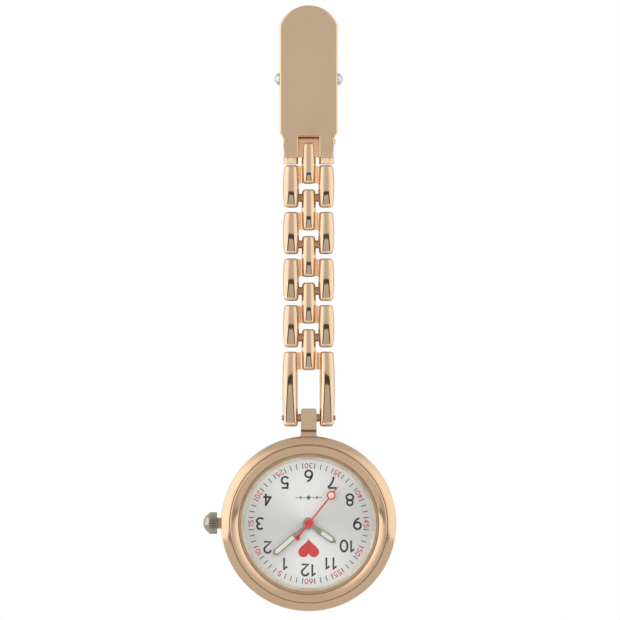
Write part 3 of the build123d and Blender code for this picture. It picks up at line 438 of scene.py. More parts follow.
def combine(target, shape, operation="UNION", height=0.0):
    """Join another shape to an object, cut it away, or keep what they share."""
    tool = as_object("tool", shape, height)
    modifier = target.modifiers.new("combine", "BOOLEAN")
    modifier.operation = operation
    modifier.solver = "EXACT"
    modifier.object = tool
    apply_modifiers(target)
    bpy.data.objects.remove(tool)


def join_pair(target, plan, inner, outer, edge):
    """Join a plate at each side of an object, between two distances from its middle."""
    for low, high in ((-outer, -inner), (inner, outer)):
        combine(target, from_side(slab(plan, low, high, edge, edge)))


def finish_piece(made, body, slot, replaces=(), material=None, sharp=32):
    """Smooth the piece, give it its material or its slot's own, and hang it on its body."""
    mesh = made.data
    mesh.shade_smooth()
    mesh.set_sharp_from_angle(angle=math.radians(sharp))
    weighted = made.modifiers.new("weighted", "WEIGHTED_NORMAL")
    weighted.keep_sharp = True
    mesh.materials.clear()
    mesh.materials.append(material or MATERIALS[slot])
    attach(made, body)
    if replaces:
        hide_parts(*replaces)


def piece(name, shape, height, body, slot, *rest, **named):
    finish_piece(as_object(name, shape, height), body, slot, *rest, **named)


def on_head(name, shape, slot, *rest, body="head", **named):
    piece(name, shape, HEAD_Z, body, slot, *rest, **named)


# ---- material helpers ----
class Graph:
    """A shader's node tree, with short names for what is built in it."""

    def __init__(self, tree):
        self.tree = tree

    def feed(self, node, values):
        """Set a node's inputs to fixed values, or feed them with other nodes' outputs."""
        for key, value in values.items():
            if isinstance(value, bpy.types.NodeSocket):
                self.tree.links.new(value, node.inputs[key])
            else:
                node.inputs[key].default_value = value

    def node(self, kind, output=0, inputs=None, **settings):
        """Add a node with these settings and inputs, and return one of its outputs."""
        made = self.tree.nodes.new(kind)
        for key, value in settings.items():
            setattr(made, key, value)
        self.feed(made, inputs or {})
        return made.outputs[output]

    def math(self, operation, *values):
        return self.node("ShaderNodeMath", inputs=dict(enumerate(values)), operation=operation)

    def ramp(self, value, start, end, low=0.0, high=1.0, shape="LINEAR"):
        """Map a value from one range to another and hold it there."""
        inputs = {"Value": value, "From Min": start, "From Max": end, "To Min": low, "To Max": high}
        return self.node("ShaderNodeMapRange", inputs=inputs, interpolation_type=shape)

    def step(self, value, start, end):
        """0 up to start and 1 from end on, with a smooth change between."""
        return self.ramp(value, start, end, shape="SMOOTHSTEP")

    def band(self, value, start, end, soft):
        """1 between start and end, and 0 outside them."""
        rising = self.step(value, start, start + soft)
        falling = self.step(value, end - soft, end)
        return self.math("MULTIPLY", rising, self.math("SUBTRACT", 1.0, falling))

    def mix(self, first, second, share):
        """first where share is 0 and second where it is 1."""
        other = self.math("SUBTRACT", 1.0, share)
        return self.math("ADD", self.math("MULTIPLY", first, other), self.math("MULTIPLY", second, share))

    def parts(self, kind):
        """The x, y and z of a texture coordinate."""
        vector = self.node("ShaderNodeTexCoord", kind)
        return [self.node("ShaderNodeSeparateXYZ", axis, {"Vector": vector}) for axis in "XYZ"]


class Finish(Graph):
    """A material made of one Principled shader, and the nodes that vary its inputs."""

    def __init__(self, name, colour, metallic, roughness):
        self.material = bpy.data.materials.new(name)
        self.material.use_nodes = True
        super().__init__(self.material.node_tree)
        self.shader = self.tree.nodes["Principled BSDF"]
        self.colour = colour
        self.put({"Base Color": (*colour, 1), "Metallic": metallic, "Roughness": roughness})

    def put(self, values):
        """Set or feed the shader's own inputs."""
        self.feed(self.shader, values)

    def place(self, stretch=(1, 1, 1)):
        """The place on the object, in metres, stretched for grain that runs one way."""
        inputs = {"Scale": stretch, "Vector": self.node("ShaderNodeTexCoord", "Object")}
        return self.node("ShaderNodeMapping", inputs=inputs)

    def noise(self, scale, detail=3.0, stretch=(1, 1, 1)):
        inputs = {"Scale": scale, "Detail": detail, "Vector": self.place(stretch)}
        return self.node("ShaderNodeTexNoise", "Fac", inputs)

    def line_noise(self, value, scale, detail):
        """Noise that varies with one value."""
        inputs = {"Scale": scale, "Detail": detail, "W": value}
        return self.node("ShaderNodeTexNoise", "Fac", inputs, noise_dimensions="1D")

    def vary_roughness(self, value, low, high):
        self.put({"Roughness": self.ramp(value, 0.3, 0.7, low, high)})

    def vary_colour(self, value, other, start=0.3, end=0.7):
        """Blend the base colour towards another with a value."""
        inputs = {"A": (*self.colour, 1), "B": (*other, 1), "Factor": self.ramp(value, start, end)}
        self.put({"Base Color": self.node("ShaderNodeMix", "Result", inputs, data_type="RGBA")})

    def bump(self, value, strength, depth):
        """Bump of a depth in millimetres."""
        inputs = {"Strength": strength, "Distance": depth * MM, "Height": value}
        self.put({"Normal": self.node("ShaderNodeBump", inputs=inputs)})

    def wear(self, grain, low, high, patches, other, strength, depth):
        """Vary the roughness and the height with a grain and the colour with patches."""
        self.vary_roughness(grain, low, high)
        self.vary_colour(patches, other)
        self.bump(grain, strength, depth)
        return self.material

    def head_place(self):
        """The angle about the watch head's axis, from -pi to pi, and the distance from it in metres."""
        across, _, height = self.parts("Object")
        up = self.math("SUBTRACT", height, HEAD_Z)
        squares = [self.math("MULTIPLY", value, value) for value in (across, up)]
        return self.math("ARCTAN2", up, across), self.math("SQRT", self.math("ADD", *squares))

    def radial_tangent(self, amount):
        """Stretch the reflection round the head's axis, as fine turning or sunray brushing does."""
        tangent = self.node("ShaderNodeTangent", direction_type="RADIAL", axis="Y")
        self.put({"Anisotropic": amount, "Tangent": tangent})


def polished_metal(name, colour, smudge, low, high, scratch=0.12):
    """Mirror-polished metal with faint smudges and hairline scratches."""
    finish = Finish(name, colour, 1.0, low)
    finish.vary_roughness(finish.noise(260, 4), low, high)
    finish.vary_colour(finish.noise(140, 2), smudge)
    finish.bump(finish.noise(2600, 2, (1, 1, 0.06)), scratch, 0.002)
    return finish.material


def grained_metal(name, colour, other, roughness, stretch):
    """Satin metal with grain that runs one way."""
    finish = Finish(name, colour, 1.0, roughness)
    grain, patches = finish.noise(1500, 4, stretch), finish.noise(400, 3)
    return finish.wear(grain, roughness * 0.75, roughness * 1.3, patches, other, 0.35, 0.004)


def moulded(name, colour, other, roughness):
    """Moulded plastic, rubber or resin with a fine uneven skin."""
    finish = Finish(name, colour, 0.0, roughness)
    skin, patches = finish.noise(2200, 3), finish.noise(500, 2)
    return finish.wear(skin, roughness * 0.85, roughness * 1.15, patches, other, 0.3, 0.006)


def turned_metal(name, colour, other, roughness, spread):
    """Metal with fine circular turning marks about the head's axis."""
    finish = Finish(name, colour, 1.0, roughness)
    finish.radial_tangent(spread)
    rings, patches = finish.line_noise(finish.head_place()[1], 9000, 3), finish.noise(300, 3)
    return finish.wear(rings, roughness * 0.8, roughness * 1.25, patches, other, 0.25, 0.003)


def sunray_dial():
    """Silver lacquer over fine lines that run out from the centre, with a painted highlight: the base colour
    is lighter in a fan to six and twelve and darker towards three and nine.
    """
    finish = Finish("sunray_silver", (0.985, 0.985, 0.965), 0.5, 0.5)
    angle = finish.head_place()[0]
    # painted highlight and shade: a fan, fixed to the dial, lightens the base colour towards six and twelve
    # and darkens it towards three and nine, where the sunray brushing would reflect the side lights
    painted_fan = finish.math("COSINE", finish.math("MULTIPLY_ADD", angle, 2.0, math.radians(-200)))
    rays = finish.line_noise(angle, 90, 6)
    finish.vary_roughness(rays, 0.45, 0.55)
    # the darker colour serves both the lines' own random tone and the painted shade of the fan
    finish.vary_colour(finish.math("MULTIPLY_ADD", rays, -1.2, painted_fan), (0.80, 0.805, 0.79), 0.1, -1.6)
    finish.bump(rays, 0.12, 0.004)
    finish.put({"Coat Weight": 0.25, "Coat Roughness": 0.12})
    finish.radial_tangent(0.9)
    return finish.material


def glass():
    """Clear mineral glass with a trace of smear."""
    finish = Finish("mineral_glass", (1, 1, 1), 0.0, 0.0)
    finish.put({"Transmission Weight": 1.0, "Alpha": 0.3, "IOR": 1.06, "Coat Weight": 0.7})
    finish.vary_roughness(finish.noise(90, 2), 0.0, 0.004)
    return finish.material


def ink(name, colour, other):
    """Printed ink with a slightly uneven film."""
    finish = Finish(name, colour, 0.0, 0.42)
    film = finish.noise(3800, 3)
    return finish.wear(film, 0.36, 0.5, film, other, 0.25, 0.004)


def lacquer(name, colour, other):
    """Gloss paint over metal."""
    finish = Finish(name, colour, 0.0, 0.25)
    finish.vary_colour(finish.noise(900, 3), other)
    finish.vary_roughness(finish.noise(2600, 3), 0.2, 0.32)
    finish.bump(finish.noise(1800, 2), 0.15, 0.003)
    finish.put({"Coat Weight": 0.6, "Coat Roughness": 0.08})
    return finish.material


def luminous():
    """Pale luminous paste, slightly grainy."""
    finish = Finish("lume", (0.78, 0.82, 0.66), 0.0, 0.6)
    finish.put({"Subsurface Weight": 0.15, "Subsurface Radius": (0.0004, 0.0004, 0.0003)})
    grains = finish.noise(5200, 4)
    return finish.wear(grains, 0.5, 0.72, grains, (0.87, 0.88, 0.76), 0.4, 0.01)


def wound_copper():
    """Enamelled wire, turn beside turn along x."""
    finish = Finish("copper_wire", (0.66, 0.27, 0.13), 0.9, 0.3)
    inputs = {"Scale": 3200, "Distortion": 0.6, "Vector": finish.place()}
    wave = finish.node("ShaderNodeTexWave", "Fac", inputs, wave_type="BANDS", bands_direction="X")
    finish.vary_colour(wave, (0.42, 0.15, 0.07), 0.0, 1.0)
    finish.vary_roughness(finish.noise(1500), 0.24, 0.4)
    finish.bump(wave, 0.8, 0.02)
    return finish.material


# the material of each slot
MATERIALS = {
    "rose_gold": polished_metal("rose_gold", (0.69, 0.50, 0.336), (0.655, 0.47, 0.31), 0.02, 0.05),
    "flange_metal": turned_metal("champagne_flange", (0.90, 0.86, 0.72), (0.86, 0.80, 0.65), 0.3, 0.5),
    "steel": polished_metal("nickel_steel", (0.60, 0.57, 0.51), (0.54, 0.51, 0.45), 0.08, 0.16, 0.1),
    "spring_steel": grained_metal("spring_steel", (0.56, 0.56, 0.55), (0.42, 0.42, 0.42), 0.28, (0.05, 1, 1)),
    "mineral_glass": glass(),
    "white_nylon": moulded("white_nylon", (0.82, 0.82, 0.78), (0.76, 0.76, 0.71), 0.5),
    "seal_rubber": moulded("seal_rubber", (0.03, 0.03, 0.03), (0.05, 0.05, 0.05), 0.65),
    "dial_face": sunray_dial(),
    "hand_metal": polished_metal("champagne_steel", (0.50, 0.46, 0.38), (0.42, 0.38, 0.31), 0.12, 0.22, 0.1),
    "lume": luminous(),
    "red_lacquer": lacquer("red_lacquer", (0.76, 0.05, 0.05), (0.68, 0.04, 0.04)),
    "brass": grained_metal("grained_brass", (0.80, 0.60, 0.30), (0.70, 0.50, 0.24), 0.3, (1, 1, 0.05)),
    "train_plastic": moulded("acetal", (0.66, 0.60, 0.44), (0.60, 0.54, 0.38), 0.35),
    "magnet": grained_metal("magnet", (0.20, 0.20, 0.22), (0.14, 0.14, 0.15), 0.45, (1, 1, 1)),
    "soft_iron": grained_metal("soft_iron", (0.52, 0.52, 0.51), (0.42, 0.42, 0.42), 0.38, (0.05, 1, 1)),
    "copper_wire": wound_copper(),
    "circuit_green": moulded("circuit_green", (0.02, 0.16, 0.07), (0.03, 0.22, 0.10), 0.35),
    "chip_resin": moulded("chip_resin", (0.015, 0.015, 0.018), (0.03, 0.03, 0.03), 0.4),
    "cell_steel": grained_metal("cell_steel", (0.64, 0.64, 0.62), (0.54, 0.54, 0.53), 0.26, (1, 1, 0.05)),
}
# finishes of single pieces
CASE_GOLD = polished_metal("case_rose_gold", (0.67, 0.475, 0.315), (0.635, 0.445, 0.29), 0.12, 0.17)
# a deeper orange copy of the rose gold for the recessed webs and the tongue: painted shade, standing in for
# light that bounces between the polished bars; the higher roughness is the cast surface's own
CAST_GOLD_PAINTED_SHADE = polished_metal("cast_rose_gold_painted_shade", (0.95, 0.60, 0.37), (0.70, 0.41, 0.24), 0.2, 0.34, 0.2)
# a dark brown copy of the rose gold for the chain's pins: painted shade for the gaps between the bars where
# the pins show
PIN_GOLD_PAINTED_SHADE = polished_metal("pin_gold_painted_shade", (0.47, 0.28, 0.16), (0.34, 0.20, 0.115), 0.15, 0.3, 0.2)
CROWN_METAL = polished_metal("crown_nickel", (0.42, 0.385, 0.325), (0.37, 0.33, 0.275), 0.09, 0.16, 0.1)
COLLAR_METAL = polished_metal("collar_brass", (0.50, 0.43, 0.27), (0.42, 0.36, 0.21), 0.12, 0.2, 0.1)
TURNED_STEEL = turned_metal("turned_steel", (0.70, 0.67, 0.62), (0.63, 0.60, 0.55), 0.2, 0.6)
AMBER_NYLON = moulded("amber_nylon", (0.46, 0.30, 0.17), (0.36, 0.22, 0.12), 0.4)
CREAM_LUME = lacquer("cream_filling", (0.93, 0.82, 0.62), (0.88, 0.76, 0.55))
BLACK_INK = ink("black_ink", (0.022, 0.022, 0.024), (0.035, 0.035, 0.037))
RED_INK = ink("red_ink", (0.74, 0.06, 0.06), (0.66, 0.05, 0.05))
GREY_INK = ink("grey_ink", (0.16, 0.16, 0.165), (0.20, 0.20, 0.205))


def dress_cad_nodes():
    """Give every CAD node the material of its slot."""
    for part in frame["record"]["subparts"]:
        mesh = frame["nodes"][part["node"]].data
        mesh.materials.clear()
        mesh.materials.append(MATERIALS[part["material_slot"]])


# ---- clip ----
def plate_outline():
    """The clip plate from the front: a round top, straight sides, shoulders, and two ears beside a notch."""
    foot = EAR_END + EAR_SLOPE
    side = rounded([(0, foot, 0), (NOTCH_HALF, foot, 0), (EAR_HALF, foot, 0),
                    (EAR_HALF + EAR_TAPER, SHOULDER_Z - SHOULDER_DROP, SHOULDER_RADIUS),
                    (PLATE_HALF, SHOULDER_Z, SHOULDER_RADIUS), (PLATE_HALF, AXLE_Z, 0), (0, AXLE_Z, 0)], 5)
    across = PLATE_HALF - PLATE_CORNER
    arc_centre = PLATE_TOP - PLATE_ARC
    up = math.sqrt((PLATE_ARC - PLATE_CORNER) ** 2 - across ** 2)
    swing = math.degrees(math.atan2(up, across))
    right = side[1:-1] + arc((across, arc_centre + up), PLATE_CORNER, 0, swing, 8)
    top = arc((0, arc_centre), PLATE_ARC, swing, 180 - swing, 40)[1:-1]
    left = [(-x, y) for x, y in reversed(right)]
    return right + top + left + [(-NOTCH_HALF, NOTCH_TOP), (NOTCH_HALF, NOTCH_TOP)]


def clip_plate():
    """The front plate: a tray, open at the back, with axle lugs, a web behind the notch, bent ear tips."""
    plate = as_object("clip_plate_shell", slab(plate_outline(), -DEEP, DEEP, front=0.3, back=0.12, steps=5))
    inner = PLATE_HALF - PLATE_WALL
    tray = tab(0, inner, TRAY_FOOT, PLATE_TOP - PLATE_WALL, inner, foot_radius=0.4, step=6)
    combine(plate, slab(tray, -DEEP - 1, DEEP - PLATE_SHEET, front=0.3), "DIFFERENCE")
    web = tab(0, NOTCH_HALF + 0.3, NOTCH_TOP - 0.2, NOTCH_TOP + 0.4)
    combine(plate, slab(web, -DEEP + 0.02, -DEEP + 0.25))
    lug = tab(AXLE_Z, LUG_HALF, -0.9, AXLE_LEVEL - LUG_HALF, LUG_HALF)
    join_pair(plate, lug, inner, PLATE_HALF, 0.1)
    finish_piece(plate, "clip", "rose_gold", ["clip_plate"])
    top, length = EAR_END + EAR_SLOPE + 0.1, EAR_SLOPE + 0.1
    tips = [bar(EAR_HALF - NOTCH_HALF, top, length, x, waist=0.0, fall=0.32, apex=-1.5, end=0.1)
            for x in (-(NOTCH_HALF + EAR_HALF) / 2, (NOTCH_HALF + EAR_HALF) / 2)]
    piece("clip_ear_tips", joined(tips), 0, "clip", "rose_gold")


def clip_axle():
    """The riveted axle with its domed heads."""
    half = span("clip_axle", 0) / 2
    right = [(AXLE_RADIUS, PLATE_HALF), (AXLE_HEAD - 0.04, PLATE_HALF)]
    right += dome(AXLE_HEAD, PLATE_HALF, half, 12)
    left = [(radius, -place) for radius, place in reversed(right)]
    shape = moved(lathe(left + right, 64), lambda x, y, z: (z, AXLE_Z + y, AXLE_LEVEL + x))
    piece("axle_rivet", shape, 0, "clip", "steel", ["clip_axle"])


def clip_lever():
    """The bent sheet lever: a thumb pad with grip ribs, two cheeks on the axle, a toothed jaw."""
    half = span("clip_lever", 0) / 2
    line = smoothed(LEVER_LINE, 0.8)
    sheet = as_object("lever_sheet", from_side(slab(strip(line, LEVER_SHEET), -half, half, 0.14, 0.14)))
    top, pad = LEVER_LINE[0]
    plan = tab(0, half, -3, top, half - 0.02, step=5)
    combine(sheet, slab(plan, pad - 2, 0), "INTERSECT")
    for n in range(GRIP_RIBS):
        rib = tab(top - 2.7 - GRIP_PITCH * n, 0.2, pad + 0.5, pad - 0.18 + 0.086 * n, 0.18)
        combine(sheet, from_side(slab(rib, -2.5, 2.5, 0.12, 0.12)))
    jaw = [(-0.6, -2.15), (-0.95, -1.75), (-0.65, BITE), (-0.3, BITE - 0.3), (0.05, BITE), (0.45, BITE - 0.3),
           (0.8, BITE), (1.35, -1.6), (1.6, -2.3)]
    combine(sheet, from_side(slab(jaw, -half + 0.04, half - 0.04, 0.05, 0.05)))
    cheek = tab(AXLE_Z, CHEEK_HALF, AXLE_LEVEL - 2.15, AXLE_LEVEL + CHEEK_HALF, CHEEK_HALF - 0.01)
    join_pair(sheet, cheek, *LEVER_CHEEKS, 0.06)
    finish_piece(sheet, "lever", "rose_gold", ["clip_lever"], CASE_GOLD)


def clip_spring():
    """The torsion spring round the axle. Its rear leg leans on the lever and swings with it."""
    height = SPRING_PITCH * SPRING_TURNS
    lean = math.radians(180 + FRONT_LEG_LEAN)

    def spot(angle, beyond=0.0):
        """A point of the coil at this angle, or this far along the tangent there."""
        u, v = math.cos(angle + lean), math.sin(angle + lean)
        return (SPRING_PITCH * angle / (2 * math.pi) - height / 2,
                AXLE_Z + SPRING_RADIUS * v + beyond * u, AXLE_LEVEL - SPRING_RADIUS * u + beyond * v)

    whole = 2 * math.pi * SPRING_TURNS
    count = 24 * math.ceil(SPRING_TURNS)
    coil = [spot(0, -SPRING_LEG * (1 - k / 6)) for k in range(6)]
    coil += [spot(whole * k / count) for k in range(count + 1)]
    leg = [spot(whole - 0.1)] + [spot(whole, SPRING_LEG * k / 6) for k in range(7)]
    piece("spring_coil", tube(coil, SPRING_WIRE / 2), 0, "clip", "spring_steel", ["clip_spring"])
    piece("spring_rear_leg", tube(leg, SPRING_WIRE / 2), 0, "lever", "spring_steel")


# ---- chain ----
def bar(width, top, length, x=0.0, waist=0.2, shift=0.0, fall=0.2, apex=0.43, end=0.4, around=64):
    """A cast bar that hangs from top: half-round in front, squarer behind, crowned along its length.

    waist is how much narrower it is at its ends, and shift how much nearer to the middle they are.
    fall is how far the front drops back by its lower end, and apex is where it stands proudest.
    end is how far from its ends the edges start to round.
    """
    end = min(end, length / 3)
    rows = [(end - u, end - v) for u, v in arc((0, 0), end, 0, 90, 6)]
    inner = [(end + (length - 2 * end) * k / 32, 0.0) for k in range(1, 32)]
    rows = rows + inner + [(length - down, cut) for down, cut in reversed(rows)]
    outward = 0 if x == 0 else math.copysign(1, x)
    verts = []
    for down, cut in rows:
        share = down / length
        taper = abs(2 * share - 1) ** 2.3
        half = (width - waist * taper) / 2 - cut
        centre = x - outward * shift * taper
        if share >= apex:
            drop = fall * ((share - apex) / (1 - apex)) ** 2
        else:
            drop = 0.06 * ((apex - share) / apex) ** 2
        for i in range(around):
            angle = 2 * math.pi * i / around
            u, w = math.cos(angle), math.sin(angle)
            power = 0.93 if w >= 0 else 0.42
            depth = DEEP - cut - (drop if w >= 0 else 0.15)
            verts.append((centre + half * math.copysign(abs(u) ** power, u), top - down,
                          depth * math.copysign(abs(w) ** power, w)))
    return verts, tiled(len(rows), around)


def bridge(inner, outer, low, high):
    """The recessed web between a centre bar and a side bar, with a hollow front."""
    centre, half = (inner + outer) / 2, (outer - inner) / 2
    outline = [(inner, BRIDGE_BACK), (outer, BRIDGE_BACK)]
    for k in range(13):
        u = 1 - k / 6
        outline.append((centre + half * u, BRIDGE_FRONT + BRIDGE_HOLLOW * u * u))
    return moved(slab(outline, low, high), lambda x, z, level: (x, level, z))


def bar_set(side, centre, rise):
    """A centre bar with side bars below it, and the webs that join them."""
    bars = [bar(CENTRE_WIDTH, CENTRE_TOP + rise, CENTRE_LENGTH, **centre)]
    low = CENTRE_TOP + rise - CENTRE_LENGTH + 0.12
    high = SIDE_TOP + rise - 0.12
    inner = CENTRE_WIDTH / 2 - 0.35
    outer = side["x"] - side["width"] / 2 + 0.45
    for hand in (-1, 1):
        bars.append(bar(**{**side, "top": SIDE_TOP + rise, "x": hand * side["x"]}))
    return joined(bars), joined([bridge(-outer, -inner, low, high), bridge(inner, outer, low, high)])


def chain():
    """The four links and the shackle. The first link has a tongue for the clip's notch."""
    pitch = PIN_Z[1] - PIN_Z[2]
    sides = [FIRST_SIDE] + [LINK_SIDE] * 3 + [SHACKLE_SIDE]
    for body, side, place, below in zip(CHAIN_BODIES, sides, PIN_Z, PIN_Z[1:]):
        rise = 0 if body == "shackle" else (pitch - place + below) / MM
        bars, webs = bar_set(side, FIRST_CENTRE if body == "link_1" else LINK_CENTRE, rise)
        if body == "link_1":
            tongue = rounded([(-2.5, -0.8, 0.1), (0.8, -0.8, 0.78), (0.8, 0.8, 0.78), (-2.5, 0.8, 0.1)])
            half = NOTCH_HALF - 0.015
            webs = joined([webs, from_side(slab(tongue, -half, half, front=0.08, back=0.08))])
        piece(f"{body}_bars", bars, place, body, "rose_gold", [body])
        # the webs take the deeper orange gold, painted shade for their recess between the bars
        piece(f"{body}_webs", webs, place, body, "rose_gold", material=CAST_GOLD_PAINTED_SHADE)


def pins():
    """The pins, with a collar in each gap beside the part that swings on them."""
    for node, body in zip(PIN_NODES, ["clip"] + CHAIN_BODIES):
        half = span(node, 0) / 2
        # the chain's pins are gold darkened to brown, painted shade for the gaps they sit in
        collar, head, slot, metal = 1.7, half, "rose_gold", PIN_GOLD_PAINTED_SHADE
        if node == "clip_pin":
            collar, head, slot, metal = 1.0, half + 0.2, "steel", MATERIALS["steel"]
        outline = [(0, -half), (PIN_RADIUS - 0.12, -half), (PIN_RADIUS, -half + 0.1), (PIN_RADIUS, -collar),
                   (COLLAR_RADIUS, -collar), (COLLAR_RADIUS, collar), (PIN_RADIUS, collar),
                   (PIN_RADIUS, head - 0.1), (PIN_RADIUS - 0.12, head), (0, head)]
        piece(f"{node}_rod", from_side(lathe(outline, 48)), middle(node).z, body, slot, [node], metal)


# ---- watch head ----
def case_body():
    """The case middle with its beaded shoulder, and the bow on its neck."""
    shoulder = [(CASE_RADIUS, 0.7), (CASE_RADIUS - 0.05, 0.86), (CASE_RADIUS - 0.15, 0.98)]
    groove_edge = [(GROOVE_RADIUS + 0.14, 1.79), (GROOVE_RADIUS + 0.07, 1.72), (GROOVE_WALL, 1.6)]
    outline = [(BACK_BORE, -2.95), (12.85, -2.95), (12.95, -2.9)]
    outline += arc_through((13.05, -2.83), (13.75, -1.9), (CASE_RADIUS, -0.7), 16)
    outline += arc_through(*shoulder, 5)[:-1]
    outline += arc_through(shoulder[-1], (13.3, 1.5), (GROOVE_RADIUS + 0.16, 1.8), 16)
    outline += arc_through(*groove_edge, 4)
    outline += [(GROOVE_WALL, BEZEL_FOOT), (BEZEL_INNER, BEZEL_FOOT), (BEZEL_INNER, BEZEL_SEAT),
                (BACK_BORE, BEZEL_SEAT)]
    case = as_object("case_shell", lathe(outline, 256), HEAD_Z)
    plan = mirrored([(1.7, BOW_FOOT, 0), (1.62, 13.75, 0), (BOW_HALF, BOW_NECK, 0.6),
                     (BOW_HALF, BOW_TOP, 0.42)])
    bow = as_object("bow", slab(rounded(plan, 6), -0.9, 0.9), HEAD_Z)
    side_view = rounded([(BOW_FOOT, -0.62, 0), (14.6, -0.62, 0.2), (14.75, -0.85, 0.1), (BOW_TOP, -0.85, 0.2),
                         (BOW_TOP, 0.85, 0.2), (15.0, 0.85, 0.08), (14.79, 0.1, 0.03), (14.62, 0.66, 0.08),
                         (14.2, 0.62, 0.2), (BOW_FOOT, 0.62, 0)], 6)
    combine(bow, from_side(slab(side_view, -2, 2)), "INTERSECT", HEAD_Z)
    bevel = bow.modifiers.new("bevel", "BEVEL")
    bevel.width = 0.08 * MM
    bevel.segments = 3
    bevel.angle_limit = math.radians(50)
    apply_modifiers(bow)
    finish_piece(bow, "head", "rose_gold")
    finish_piece(case, "head", "rose_gold", ["case_body"], CASE_GOLD)


def bezel():
    """The inner bead that holds the crystal and covers its seal."""
    outline = [(BEZEL_INNER, BEZEL_FOOT), (GROOVE_RADIUS - 0.03, BEZEL_FOOT)]
    outline += arc_through((GROOVE_RADIUS - 0.04, 3.26), (GROOVE_RADIUS - 0.09, 3.38), BEZEL_CREST, 5)[:-1]
    outline += arc_through(BEZEL_CREST, (11.83, 3.3), BEZEL_LIP, 24)[:-1]
    outline += arc_through(BEZEL_LIP, (11.25, 3.01), (11.23, 2.94), 5)
    outline += [(11.22, 2.72), (BEZEL_BORE, 2.7), (BEZEL_BORE, BEZEL_SEAT), (BEZEL_INNER, BEZEL_SEAT)]
    on_head("bezel_bead", lathe(outline, 256), "rose_gold", ["bezel"], CASE_GOLD)


def crystal_seal():
    """The amber nylon ring between the bead and the glass."""
    foot = CRYSTAL_BACK + 0.01
    inner, outer = CRYSTAL_RADIUS + 0.01, BEZEL_BORE - 0.01
    outline = [(outer, foot), (outer, 2.72), (11.2, 2.74), (11.2, 2.87)]
    outline += arc_through((11.17, 2.9), (11.0, 2.87), (inner + 0.05, 2.78), 6)
    outline += [(inner, 2.7), (inner, foot)]
    on_head("crystal_seal", lathe(outline, 192), "white_nylon", ["crystal_gasket"], AMBER_NYLON)


def flange():
    """The sloped ring between the glass and the dial."""
    foot, rim = DIAL_TOP + 0.02, BACK_BORE - 0.05
    outline = [(DIAL_OPENING, foot), (DIAL_OPENING + 0.02, foot + 0.08),
               (FLANGE_TOP_RADIUS - 0.04, FLANGE_TOP - 0.03), (FLANGE_TOP_RADIUS, FLANGE_TOP),
               (rim, FLANGE_TOP), (rim, foot)]
    on_head("flange_ring", lathe(outline, 256), "flange_metal", ["dial_ring"])


def crystal():
    """The flat glass with its polished edge."""
    low, high, radius, edge = CRYSTAL_BACK, CRYSTAL_FRONT, CRYSTAL_RADIUS, 0.18
    outline = [(0, low), (radius - 0.05, low), (radius, low + 0.05), (radius, high - edge)]
    outline += arc((radius - edge, high - edge), edge, 15, 90, 5) + [(0, high)]
    on_head("glass_plate", lathe(outline, 192), "mineral_glass", ["crystal"])


def case_back():
    """The pressed-on back with its rolled edge, two turned rings and the rim inside the case."""
    face = BACK_FACE
    outline = [(0, face)]
    for start, end in ((9.2, 9.55), (10.2, 10.5)):
        outline += [(start, face), (start + 0.1, face + 0.06), (end - 0.1, face + 0.06), (end, face)]
    outline += [(11.0, face)] + arc_through((11.05, face), (12.3, -3.5), (12.86, BACK_SEAT - 0.02), 12)
    outline += [(12.84, BACK_SEAT), (11.5, BACK_SEAT), (11.5, -2.1), (11.2, -2.1), (11.2, BACK_SEAT),
                (0, BACK_SEAT)]
    on_head("back_cover", lathe(outline, 192), "steel", ["case_back"], TURNED_STEEL)


def crown():
    """The knurled crown with its dome, and the grooved tube it stands on, on the case's left."""
    foot, end, radius = CROWN_INNER, CROWN_INNER + KNURL_LENGTH, CROWN_RADIUS

    def ribbed(angle):
        return 1 - KNURL_DEPTH / radius * (0.5 - 0.5 * math.cos(KNURL_RIBS * angle)) ** 0.6

    knurl = [(CROWN_BORE, foot), (radius - 0.1, foot), (radius, foot + 0.12), (radius, end - 0.12),
             (radius - 0.1, end), (CROWN_BORE, end)]
    cap = [(0, end - 0.1), (CROWN_DOME, end - 0.1)] + dome(CROWN_DOME, end, CROWN_OUTER, 18)
    shape = joined([lathe(knurl, KNURL_RIBS * 14, ribbed), lathe(cap, 96)])
    on_head("crown_cap", along_stem(shape), "steel", ["crown"], CROWN_METAL, body="stem")
    collar = [(COLLAR_BORE, COLLAR_FOOT), (COLLAR_TUBE, COLLAR_FOOT)]
    for place in (14.08, 14.42):
        collar += [(COLLAR_TUBE, place - 0.06), (COLLAR_GROOVE, place), (COLLAR_GROOVE, place + 0.06),
                   (COLLAR_TUBE, place + 0.12)]
    collar += [(COLLAR_TUBE - 0.02, foot + 0.02), (COLLAR_BORE, foot + 0.02)]
    on_head("crown_collar", along_stem(lathe(collar, 64)), "steel", ["crown_tube"], COLLAR_METAL)


# ---- hands ----
def pointing(node):
    """The farthest a hand reaches from the axis in millimetres, and its direction from +y."""
    reach = [(vertex.co.x / MM, (vertex.co.z - HEAD_Z) / MM) for vertex in frame["nodes"][node].data.vertices]
    x, y = max(reach, key=lambda point: math.hypot(*point))
    return math.hypot(x, y), math.degrees(math.atan2(y, x)) - 90


def blade(length, neck_end, shoulder, neck, width, straight):
    """A pointed hand drawn along +y: a narrow neck, then a straight blade, then the point."""
    half = width / 2
    return mirrored([(neck / 2, 0), (neck / 2, neck_end), (half, shoulder), (half, straight), (0.06, length)])


